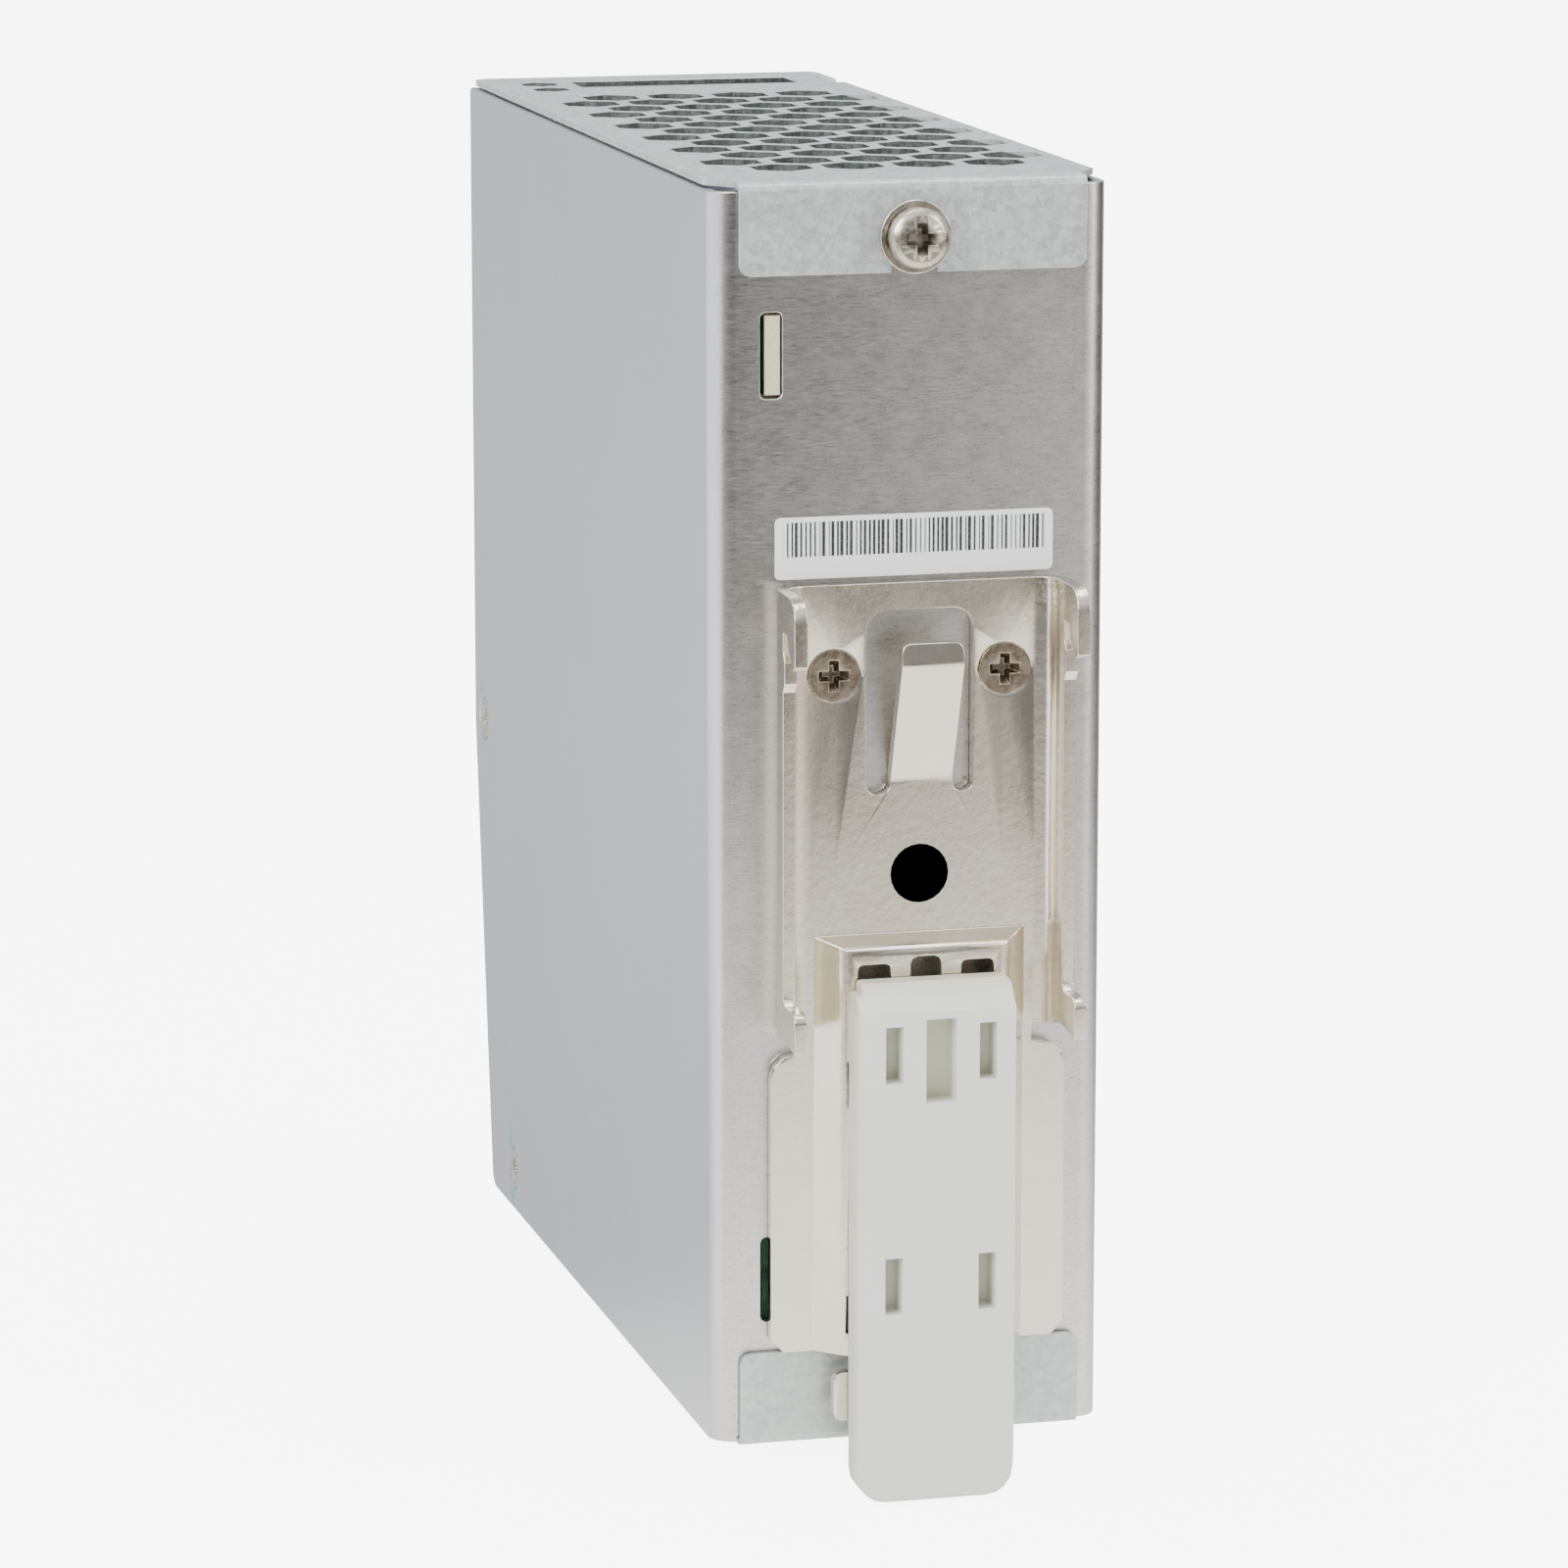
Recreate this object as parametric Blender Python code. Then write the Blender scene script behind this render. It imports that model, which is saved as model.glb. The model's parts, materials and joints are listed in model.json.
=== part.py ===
"""DIN rail power supply in a folded sheet-metal case, with its rail clip, terminals and inner parts.

Case coordinates, used all through the file: X across the case, Y towards the rail with the outer face
of the rear wall at 0, Z up from the underside of the case.  The empty case_frame shifts them so that
the world origin lies on the rail's centre line, in the plane where the rail touches the clip.
"""
import math

import bmesh
import bpy
from mathutils import Vector

MM = 0.001

# Case
CASE_WIDTH = 40.0 * MM
CASE_HEIGHT = 125.2 * MM
CASE_BOTTOM = -0.5 * MM
CASE_DEPTH = 113.5 * MM
FRONT_KINK_Z = 52.2 * MM
FRONT_SETBACK = 7.5 * MM
CHASSIS_STEEL = 1.0 * MM
CHASSIS_BEND = 2.5 * MM
GAP = 0.25 * MM
COVER_STEEL = 0.65 * MM
COVER_BEND = 0.9 * MM
CHASSIS_BOTTOM = CASE_BOTTOM + 0.3 * MM
CHASSIS_TOP = CASE_HEIGHT - COVER_STEEL - GAP
TOP_SHEET_HALF = 19.7 * MM
COVER_SIDE = CASE_WIDTH / 2 - CHASSIS_STEEL - GAP
COVER_REAR = GAP + COVER_STEEL
FLANGE_HALF = 17.4 * MM
FLANGE_HEIGHT = 9.0 * MM
COVER_SCREW_Z = 119.7 * MM

# Perforation of the top and bottom sheets
HOLE_PITCH = 7.2 * MM
HOLE_FLATS = 5.8 * MM
HOLE_ROWS = 13
HOLE_FIRST_Y = -12.6 * MM
HOLE_CENTRE_X = -1.0 * MM
SMALL_HOLE_FLATS = 3.8 * MM
SMALL_HOLE_X = 14.0 * MM
SMALL_HOLE_YS = (-98.4 * MM, -104.6 * MM)

# Slots in the rear wall that hold the board's tabs
BOARD_SLOT_X = (12.95 * MM, 15.15 * MM)
BOARD_SLOTS_Z = ((104.2 * MM, 112.6 * MM), (12.0 * MM, 20.6 * MM))

# Rail clip, about its own centre line
CLIP_X = -0.55 * MM
CLIP_STEEL = 1.3 * MM
CLIP_HALF = 14.8 * MM
CLIP_BACK = GAP
CLIP_FACE = CLIP_BACK + CLIP_STEEL
CLIP_TOP = 86.0 * MM
CLIP_WALL_BOTTOM = 41.3 * MM
SEAT_Y = 5.4 * MM
HOOK_Y = 10.0 * MM
RAIL_TOP_Z = 82.2 * MM
RAIL_HEIGHT = 35.0 * MM
RAIL_CENTRE_Z = RAIL_TOP_Z - RAIL_HEIGHT / 2
CHANNEL_FACE = 4.2 * MM
CLIP_SCREWS = ((8.65 * MM, 77.0 * MM), (-8.65 * MM, 77.0 * MM), (0.0, 57.0 * MM))

# Latch slider, about the clip's centre line
LATCH_HALF = 7.9 * MM
LATCH_BACK = 4.5 * MM
LATCH_FRONT = 8.8 * MM
LATCH_TOP = 47.3 * MM
LATCH_RAMP_Z = 44.7 * MM
LATCH_BOTTOM = -4.9 * MM
LEG_X = (3.9 * MM, 6.3 * MM)
LEGS_Z = ((38.1 * MM, 42.6 * MM), (15.0 * MM, 19.4 * MM))
SPRING_Z = (24.3 * MM, 34.6 * MM)
SPRING_Y = 2.55 * MM

# Terminal blocks
BLOCK_X = -2.25 * MM
BLOCK_HALF = 12.6 * MM
BLOCK_DEPTH = 13.9 * MM
BLOCK_HEIGHT = 18.1 * MM
SCREW_FROM_WIRE_FACE = 10.6 * MM
DC_FRONT_Y = -113.2 * MM
DC_WIRE_FACE_Z = 122.7 * MM
AC_FRONT_Y = -107.6 * MM
AC_WIRE_FACE_Z = 2.3 * MM

# Board
BOARD_X = (13.1 * MM, 14.65 * MM)
PART_FOOT = BOARD_X[0] - GAP


# ---------------------------------------------------------------- scene and materials

for old in list(bpy.data.objects):
    bpy.data.objects.remove(old, do_unlink=True)


def material(name, colour, roughness, metallic=0.0):
    """Plain Principled material."""
    made = bpy.data.materials.new(name)
    made.use_nodes = True
    shader = made.node_tree.nodes["Principled BSDF"]
    shader.inputs["Base Color"].default_value = (*colour, 1.0)
    shader.inputs["Roughness"].default_value = roughness
    shader.inputs["Metallic"].default_value = metallic
    made.diffuse_color = (*colour, 1.0)
    return made


CHASSIS_METAL = material("chassis_aluminium", (0.42, 0.44, 0.46), 0.35, 1.0)
GALVANISED = material("galvanised_steel", (0.45, 0.50, 0.51), 0.45, 1.0)
NICKEL = material("nickel_plate", (0.58, 0.54, 0.46), 0.25, 1.0)
NYLON = material("natural_nylon", (0.72, 0.75, 0.70), 0.5)
SPRING_STEEL = material("spring_steel", (0.35, 0.35, 0.36), 0.3, 1.0)
SCREW_STEEL = material("nickel_screw", (0.45, 0.42, 0.36), 0.3, 1.0)
PAPER = material("label_film", (0.75, 0.77, 0.77), 0.5)
LAMINATE = material("board_laminate", (0.06, 0.17, 0.08), 0.5)
BLACK_PLASTIC = material("black_plastic", (0.02, 0.02, 0.022), 0.5)
FILM = material("insulating_film", (0.6, 0.58, 0.48), 0.4)
CAGE_METAL = material("tinned_cage", (0.6, 0.6, 0.58), 0.35, 1.0)
BLUE_PLASTIC = material("blue_plastic", (0.03, 0.12, 0.42), 0.45)
WHITE_PLASTIC = material("white_plastic", (0.75, 0.75, 0.72), 0.5)
GREEN_LENS = material("green_lens", (0.05, 0.55, 0.12), 0.2)
FERRITE = material("ferrite", (0.05, 0.05, 0.055), 0.7)
COPPER = material("enamelled_copper", (0.45, 0.18, 0.06), 0.35, 0.6)
YELLOW_TAPE = material("winding_tape", (0.75, 0.55, 0.08), 0.5)
YELLOW_BOX = material("film_capacitor_box", (0.72, 0.52, 0.10), 0.5)
BLACK_SLEEVE = material("capacitor_sleeve", (0.03, 0.03, 0.05), 0.4)
ALUMINIUM = material("heatsink_aluminium", (0.6, 0.6, 0.6), 0.4, 1.0)
BLUE_DISC = material("ceramic_disc", (0.05, 0.20, 0.50), 0.4)
GLASS_BODY = material("fuse_body", (0.65, 0.62, 0.55), 0.3)

case_frame = bpy.data.objects.new("case_frame", None)
case_frame.location = (0.0, -SEAT_Y, -RAIL_CENTRE_Z)
bpy.context.scene.collection.objects.link(case_frame)


# ---------------------------------------------------------------- shapes, as bmeshes

def rounded(corners, steps=3):
    """Outline of (a, b) or (a, b, radius) corners, each radius drawn as an arc of the given steps."""
    points = []
    count = len(corners)
    for index, corner in enumerate(corners):
        here = Vector(corner[:2])
        radius = corner[2] if len(corner) > 2 else 0.0
        if radius == 0.0:
            points.append(tuple(here))
            continue
        back = (Vector(corners[index - 1][:2]) - here).normalized()
        ahead = (Vector(corners[(index + 1) % count][:2]) - here).normalized()
        half_angle = back.angle(ahead) / 2
        centre = here + (back + ahead).normalized() * radius / math.sin(half_angle)
        first = here + back * radius / math.tan(half_angle) - centre
        last = here + ahead * radius / math.tan(half_angle) - centre
        start = math.atan2(first.y, first.x)
        sweep = math.atan2(last.y, last.x) - start
        sweep = (sweep + math.pi) % (2 * math.pi) - math.pi
        for step in range(steps + 1):
            angle = start + sweep * step / steps
            points.append((centre.x + radius * math.cos(angle), centre.y + radius * math.sin(angle)))
    return points


def along(axis, a, b, height):
    """Point at height along an axis, with a and b on the other two axes in X, Y, Z order."""
    return {"X": (height, a, b), "Y": (a, height, b), "Z": (a, b, height)}[axis]


def loft(axis, low_outline, low, high_outline, high):
    """Closed solid between two outlines with the same number of corners."""
    shape = bmesh.new()
    bottom = [shape.verts.new(along(axis, a, b, low)) for a, b in low_outline]
    top = [shape.verts.new(along(axis, a, b, high)) for a, b in high_outline]
    shape.faces.new(bottom)
    shape.faces.new(top)
    count = len(bottom)
    for index in range(count):
        after = (index + 1) % count
        shape.faces.new((bottom[index], bottom[after], top[after], top[index]))
    bmesh.ops.recalc_face_normals(shape, faces=shape.faces)
    return shape


def prism(axis, outline, low, high):
    return loft(axis, outline, low, outline, high)


def rectangle(a0, a1, b0, b1, radius=0.0):
    return [(a0, b0, radius), (a1, b0, radius), (a1, b1, radius), (a0, b1, radius)]


def box(x, y, z):
    """Solid between the two values given for each axis."""
    return prism("Z", [(x[0], y[0]), (x[1], y[0]), (x[1], y[1]), (x[0], y[1])], z[0], z[1])


def circle(radius, centre=(0.0, 0.0), corners=20, turn=0.0):
    steps = [turn + 2 * math.pi * index / corners for index in range(corners)]
    return [(centre[0] + radius * math.cos(a), centre[1] + radius * math.sin(a)) for a in steps]


def hexagon(across_flats, centre):
    """Hexagon with two flats facing along the first axis."""
    return circle(across_flats / math.sqrt(3), centre, 6, math.pi / 6)


def turned(profile, segments=20):
    """Solid of revolution about +Z from (radius, height) points, listed from the bottom up."""
    shape = bmesh.new()
    rings = []
    for radius, height in profile:
        if radius == 0.0:
            rings.append([shape.verts.new((0.0, 0.0, height))])
        else:
            rings.append([shape.verts.new((x, y, height)) for x, y in circle(radius, corners=segments)])
    for lower, upper in zip(rings, rings[1:]):
        for index in range(segments):
            after = (index + 1) % segments
            corners = [lower[index % len(lower)], lower[after % len(lower)],
                       upper[after % len(upper)], upper[index % len(upper)]]
            shape.faces.new(list(dict.fromkeys(corners)))
    for ring in (rings[0], rings[-1]):
        if len(ring) > 1:
            shape.faces.new(ring)
    bmesh.ops.recalc_face_normals(shape, faces=shape.faces)
    return shape


def ring(inner, outer, low, high, segments=24):
    """Flat ring about +Z."""
    shape = bmesh.new()
    profile = ((inner, low), (outer, low), (outer, high), (inner, high))
    rows = [[shape.verts.new((x, y, h)) for x, y in circle(r, corners=segments)] for r, h in profile]
    for row, following in zip(rows, rows[1:] + rows[:1]):
        for index in range(segments):
            after = (index + 1) % segments
            shape.faces.new((row[index], row[after], following[after], following[index]))
    bmesh.ops.recalc_face_normals(shape, faces=shape.faces)
    return shape


def moved(shape, offset):
    bmesh.ops.translate(shape, verts=shape.verts, vec=Vector(offset))
    return shape


def aimed(shape, direction):
    """Turn a shape made about +Z to point along a direction."""
    turn = Vector((0, 0, 1)).rotation_difference(Vector(direction)).to_matrix()
    bmesh.ops.rotate(shape, verts=shape.verts, cent=(0, 0, 0), matrix=turn)
    return shape


def bevelled(shape, width, segments=2, keep=None):
    """Round the shape's edges, or only those for which keep(edge) is true."""
    edges = [edge for edge in shape.edges if keep is None or keep(edge)]
    bmesh.ops.bevel(shape, geom=edges, offset=width, segments=segments, affect="EDGES", profile=0.5)
    return shape


def gathered(shapes):
    """Several shapes that don't touch, in one bmesh, to be used as one cutter."""
    together = bmesh.new()
    for shape in shapes:
        mesh = bpy.data.meshes.new("gathered")
        shape.to_mesh(mesh)
        shape.free()
        together.from_mesh(mesh)
        bpy.data.meshes.remove(mesh)
    return together


def scratch(shape):
    bmesh.ops.triangulate(shape, faces=shape.faces)
    mesh = bpy.data.meshes.new("scratch")
    shape.to_mesh(mesh)
    shape.free()
    made = bpy.data.objects.new("scratch", mesh)
    made.hide_render = True
    made.display_type = "WIRE"
    bpy.context.scene.collection.objects.link(made)
    return made


def combined(operation, body, tools):
    """Body after one Boolean with each tool in turn."""
    objects = [scratch(shape) for shape in (body, *tools)]
    for tool in objects[1:]:
        step = objects[0].modifiers.new("step", "BOOLEAN")
        step.operation = operation
        step.solver = "EXACT"
        step.object = tool
    bpy.context.view_layer.update()
    result = bmesh.new()
    result.from_object(objects[0], bpy.context.evaluated_depsgraph_get())
    for used in objects:
        mesh = used.data
        bpy.data.objects.remove(used, do_unlink=True)
        bpy.data.meshes.remove(mesh)
    bmesh.ops.remove_doubles(result, verts=result.verts, dist=2e-7)
    bmesh.ops.dissolve_limit(result, angle_limit=0.0005, verts=result.verts, edges=result.edges)
    return result


def cut(body, *tools):
    return combined("DIFFERENCE", body, tools)


def fused(body, *tools):
    return combined("UNION", body, tools)


def common(body, *tools):
    return combined("INTERSECT", body, tools)


def node(name, shape, finish, origin=(0.0, 0.0, 0.0), smooth=False):
    """Named object in the case frame; origin is where its own axes stand, such as on a joint's axis."""
    moved(shape, -Vector(origin))
    mesh = bpy.data.meshes.new(name)
    shape.to_mesh(mesh)
    shape.free()
    if smooth:
        mesh.shade_smooth()
        mesh.set_sharp_from_angle(angle=math.radians(35))
    mesh.materials.append(finish)
    made = bpy.data.objects.new(name, mesh)
    made.location = origin
    made.parent = case_frame
    bpy.context.scene.collection.objects.link(made)
    return made


# ---------------------------------------------------------------- fasteners

def cross_recess(reach, width, depth, top=0.0):
    """Cutter for a cross recess about +Z that narrows with depth."""
    wide = [(reach, -width), (reach, width), (width, width), (width, reach), (-width, reach),
            (-width, width), (-reach, width), (-reach, -width), (-width, -width), (-width, -reach),
            (width, -reach), (width, -width)]
    narrow = [(a * 0.55, b * 0.55) for a, b in wide]
    over = 0.3 * MM
    return loft("Z", narrow, top - depth, [(a * 1.08, b * 1.08) for a, b in wide], top + over)


def flat_head_screw(head, head_height, shank, length):
    """Countersunk screw with its head's face at height 0."""
    profile = [(0.0, -length), (shank * 0.7, -length), (shank, -length + 0.5 * MM),
               (shank, -head_height), (head, -0.2 * MM), (head, 0.0), (0.0, 0.0)]
    return cut(turned(profile), cross_recess(head * 0.6, head * 0.19, head * 0.5))


def pan_head_screw(head, head_height, shank, length):
    """Domed screw whose head sits on height 0."""
    dome = [(head * math.cos(a), head_height * (0.45 + 0.55 * math.sin(a)))
            for a in (math.radians(20 * step) for step in range(5))]
    profile = [(0.0, -length), (shank * 0.7, -length), (shank, -length + 0.5 * MM), (shank, 0.0),
               (head, 0.0), *dome[:-1], (head * 0.12, head_height), (0.0, head_height)]
    return cut(turned(profile), cross_recess(head * 0.56, head * 0.19, head_height * 0.75, head_height))


# ---------------------------------------------------------------- chassis: two side walls and the rear wall

SIDE_SCREWS = (("upper", -108.6 * MM, 53.4 * MM), ("lower", -94.7 * MM, 4.4 * MM))
SIDE_HEAD = 2.2 * MM


def front_y(z):
    """Front face of the case at a height: upright above the kink, leaning back below it."""
    lean = max(0.0, (FRONT_KINK_Z - z) / FRONT_KINK_Z)
    return -CASE_DEPTH + FRONT_SETBACK * lean


def make_chassis():
    half = CASE_WIDTH / 2
    inner = half - CHASSIS_STEEL
    inner_bend = CHASSIS_BEND - CHASSIS_STEEL
    beyond = 3 * MM
    plan = rounded([(half, -CASE_DEPTH - beyond), (half, 0.0, CHASSIS_BEND), (-half, 0.0, CHASSIS_BEND),
                    (-half, -CASE_DEPTH - beyond), (-inner, -CASE_DEPTH - beyond),
                    (-inner, -CHASSIS_STEEL, inner_bend), (inner, -CHASSIS_STEEL, inner_bend),
                    (inner, -CASE_DEPTH - beyond)], 5)
    side = rounded([(beyond, CHASSIS_BOTTOM), (beyond, CHASSIS_TOP), (-CASE_DEPTH, CHASSIS_TOP, 0.8 * MM),
                    (-CASE_DEPTH, FRONT_KINK_Z), (front_y(CHASSIS_BOTTOM), CHASSIS_BOTTOM, 2.0 * MM)], 4)
    body = common(prism("Z", plan, -beyond, CASE_HEIGHT + beyond),
                  prism("X", side, -half - beyond, half + beyond))
    tools = [prism("Y", rounded(rectangle(*BOARD_SLOT_X, *span, 0.5 * MM), 2), -beyond, beyond)
             for span in BOARD_SLOTS_Z]
    tools += [prism("Y", circle(1.75 * MM, (CLIP_X + x, z), 12), -beyond, beyond) for x, z in CLIP_SCREWS]
    tools.append(prism("Y", circle(1.75 * MM, (0.0, COVER_SCREW_Z), 12), -beyond, beyond))
    tools.append(box((-FLANGE_HALF - GAP, FLANGE_HALF + GAP), (-2 * MM, beyond),
                     (-beyond, CASE_BOTTOM + COVER_STEEL + GAP)))
    for _, y, z in SIDE_SCREWS:
        for sign in (-1, 1):
            sink = turned([(0.0, -3 * MM), (1.7 * MM, -3 * MM), (1.7 * MM, -1.05 * MM),
                           (SIDE_HEAD + 0.35 * MM, 0.0), (SIDE_HEAD + 0.35 * MM, 1 * MM), (0.0, 1 * MM)])
            tools.append(moved(aimed(sink, (sign, 0, 0)), (sign * half, y, z)))
    return cut(body, gathered(tools))


# ---------------------------------------------------------------- cover: top, front and bottom in one sheet

def perforation(low, high):
    """Rows of hexagonal holes, alternately four and five across."""
    holes = []
    for row in range(HOLE_ROWS):
        across = 4 + row % 2
        y = HOLE_FIRST_Y - row * HOLE_PITCH * math.sqrt(3) / 2
        for column in range(across):
            x = HOLE_CENTRE_X + (column - (across - 1) / 2) * HOLE_PITCH
            holes.append(prism("Z", hexagon(HOLE_FLATS, (x, y)), low, high))
    for y in SMALL_HOLE_YS:
        holes.append(prism("Z", hexagon(SMALL_HOLE_FLATS, (SMALL_HOLE_X, y)), low, high))
    return holes


def cover_outline(inset):
    lean = math.hypot(FRONT_SETBACK, FRONT_KINK_Z) / FRONT_KINK_Z
    floor = CASE_BOTTOM + inset
    return [(COVER_REAR - inset, floor), (COVER_REAR - inset, CASE_HEIGHT - inset),
            (-CASE_DEPTH + inset, CASE_HEIGHT - inset), (-CASE_DEPTH + inset, FRONT_KINK_Z),
            (front_y(floor) + inset * lean, floor)]


TRIMMER_X = 8.4 * MM
TRIMMER_Z = 91.0 * MM
LED_Z = 98.6 * MM


def make_cover():
    outer = bevelled(prism("X", cover_outline(0.0), -COVER_SIDE, COVER_SIDE), COVER_BEND, 2)
    hollow = prism("X", cover_outline(COVER_STEEL), -COVER_SIDE + COVER_STEEL, COVER_SIDE - COVER_STEEL)
    far = 30 * MM
    low, high = CASE_BOTTOM + COVER_STEEL, CASE_HEIGHT - COVER_STEEL
    side_window = prism("X", rounded([
        (-1.9 * MM, low), (-1.9 * MM, high), (-CASE_DEPTH + 9 * MM, high),
        (-CASE_DEPTH + 9 * MM, 24 * MM, 2 * MM),
        (-90 * MM, 12 * MM, 2 * MM), (-90 * MM, low)], 2), -far, far)
    rear_gap = box((-far, far), (COVER_REAR - COVER_STEEL - MM, 5 * MM),
                   (FLANGE_HEIGHT, CASE_HEIGHT - FLANGE_HEIGHT))
    body = cut(outer, hollow, side_window, rear_gap)
    sheet = prism("Z", rounded([(-TOP_SHEET_HALF, -CASE_DEPTH + 0.4 * MM, 1.5 * MM),
                                (TOP_SHEET_HALF, -CASE_DEPTH + 0.4 * MM, 1.5 * MM),
                                (TOP_SHEET_HALF, -2 * MM),
                                (-TOP_SHEET_HALF, -2 * MM)], 3), high, CASE_HEIGHT)
    shoulders = [prism("Z", [(sign * FLANGE_HALF, 5 * MM), (sign * FLANGE_HALF, -1.7 * MM),
                             (sign * TOP_SHEET_HALF, -4.9 * MM), (sign * far, -4.9 * MM),
                             (sign * far, 5 * MM)],
                       -5 * MM, CASE_HEIGHT + 5 * MM) for sign in (-1, 1)]
    body = cut(fused(body, sheet), gathered(shoulders))
    round_corners = []
    for sign in (-1, 1):
        for edge_z, upward in ((CASE_HEIGHT - FLANGE_HEIGHT, 1), (FLANGE_HEIGHT, -1)):
            reach, over = 1.2 * MM, 0.02 * MM
            tip = [(sign * (FLANGE_HALF + MM), edge_z - upward * MM)]
            for step in range(4):
                angle = math.radians(30 * step)
                tip.append((sign * (FLANGE_HALF - reach + (reach + over) * math.sin(angle)),
                            edge_z + upward * (reach - (reach + over) * math.cos(angle))))
            tip.insert(1, (tip[1][0], tip[0][1]))
            tip.append((tip[0][0], tip[-1][1]))
            round_corners.append(prism("Y", tip, -1 * MM, 3 * MM))
    notch = prism("Y", rounded([(-2.5 * MM, 114 * MM), (2.5 * MM, 114 * MM),
                                (1.9 * MM, 121.6 * MM, 1.8 * MM),
                                (-1.9 * MM, 121.6 * MM, 1.8 * MM)], 4), -1 * MM, 3 * MM)
    block_left, block_right = BLOCK_X - BLOCK_HALF - GAP, BLOCK_X + BLOCK_HALF + GAP
    wires = (BLOCK_X - 12.25 * MM, BLOCK_X + 12.25 * MM)
    front_holes = [
        box((block_left, block_right), (-CASE_DEPTH - MM, -CASE_DEPTH + 3 * MM),
            (DC_WIRE_FACE_Z - BLOCK_HEIGHT - GAP, DC_WIRE_FACE_Z + GAP)),
        box((block_left, block_right), (-CASE_DEPTH - MM, -CASE_DEPTH + 12 * MM),
            (AC_WIRE_FACE_Z - GAP, AC_WIRE_FACE_Z + BLOCK_HEIGHT + GAP)),
        prism("Y", circle(2.4 * MM, (TRIMMER_X, TRIMMER_Z), 16), -CASE_DEPTH - MM, -CASE_DEPTH + 3 * MM),
        prism("Y", circle(1.75 * MM, (TRIMMER_X, LED_Z), 12), -CASE_DEPTH - MM, -CASE_DEPTH + 3 * MM),
    ]
    top_holes = perforation(CASE_HEIGHT - 3 * MM, CASE_HEIGHT + MM)
    top_holes.append(box(wires, (-107.0 * MM, -100.3 * MM), (CASE_HEIGHT - 3 * MM, CASE_HEIGHT + MM)))
    top_holes.append(prism("Z", rounded(rectangle(-25 * MM, -17.4 * MM, -103.4 * MM, -99.4 * MM, 0.8 * MM),
                                        2),
                           CASE_HEIGHT - 12 * MM, CASE_HEIGHT + MM))
    bottom_holes = perforation(-2 * MM, 2 * MM)
    bottom_holes = [hole for hole in bottom_holes if min(v.co.y for v in hole.verts) > -91 * MM]
    bottom_holes.append(box(wires, (-101.4 * MM, -94.7 * MM), (-2 * MM, 2 * MM)))
    screw_holes = [prism("X", circle(1.6 * MM, (y, z), 12), -far, far) for _, y, z in SIDE_SCREWS]
    body = cut(body, gathered(round_corners + [notch]), gathered(front_holes), gathered(screw_holes))
    return cut(body, gathered(top_holes), gathered(bottom_holes))


# ---------------------------------------------------------------- rail clip

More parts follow.
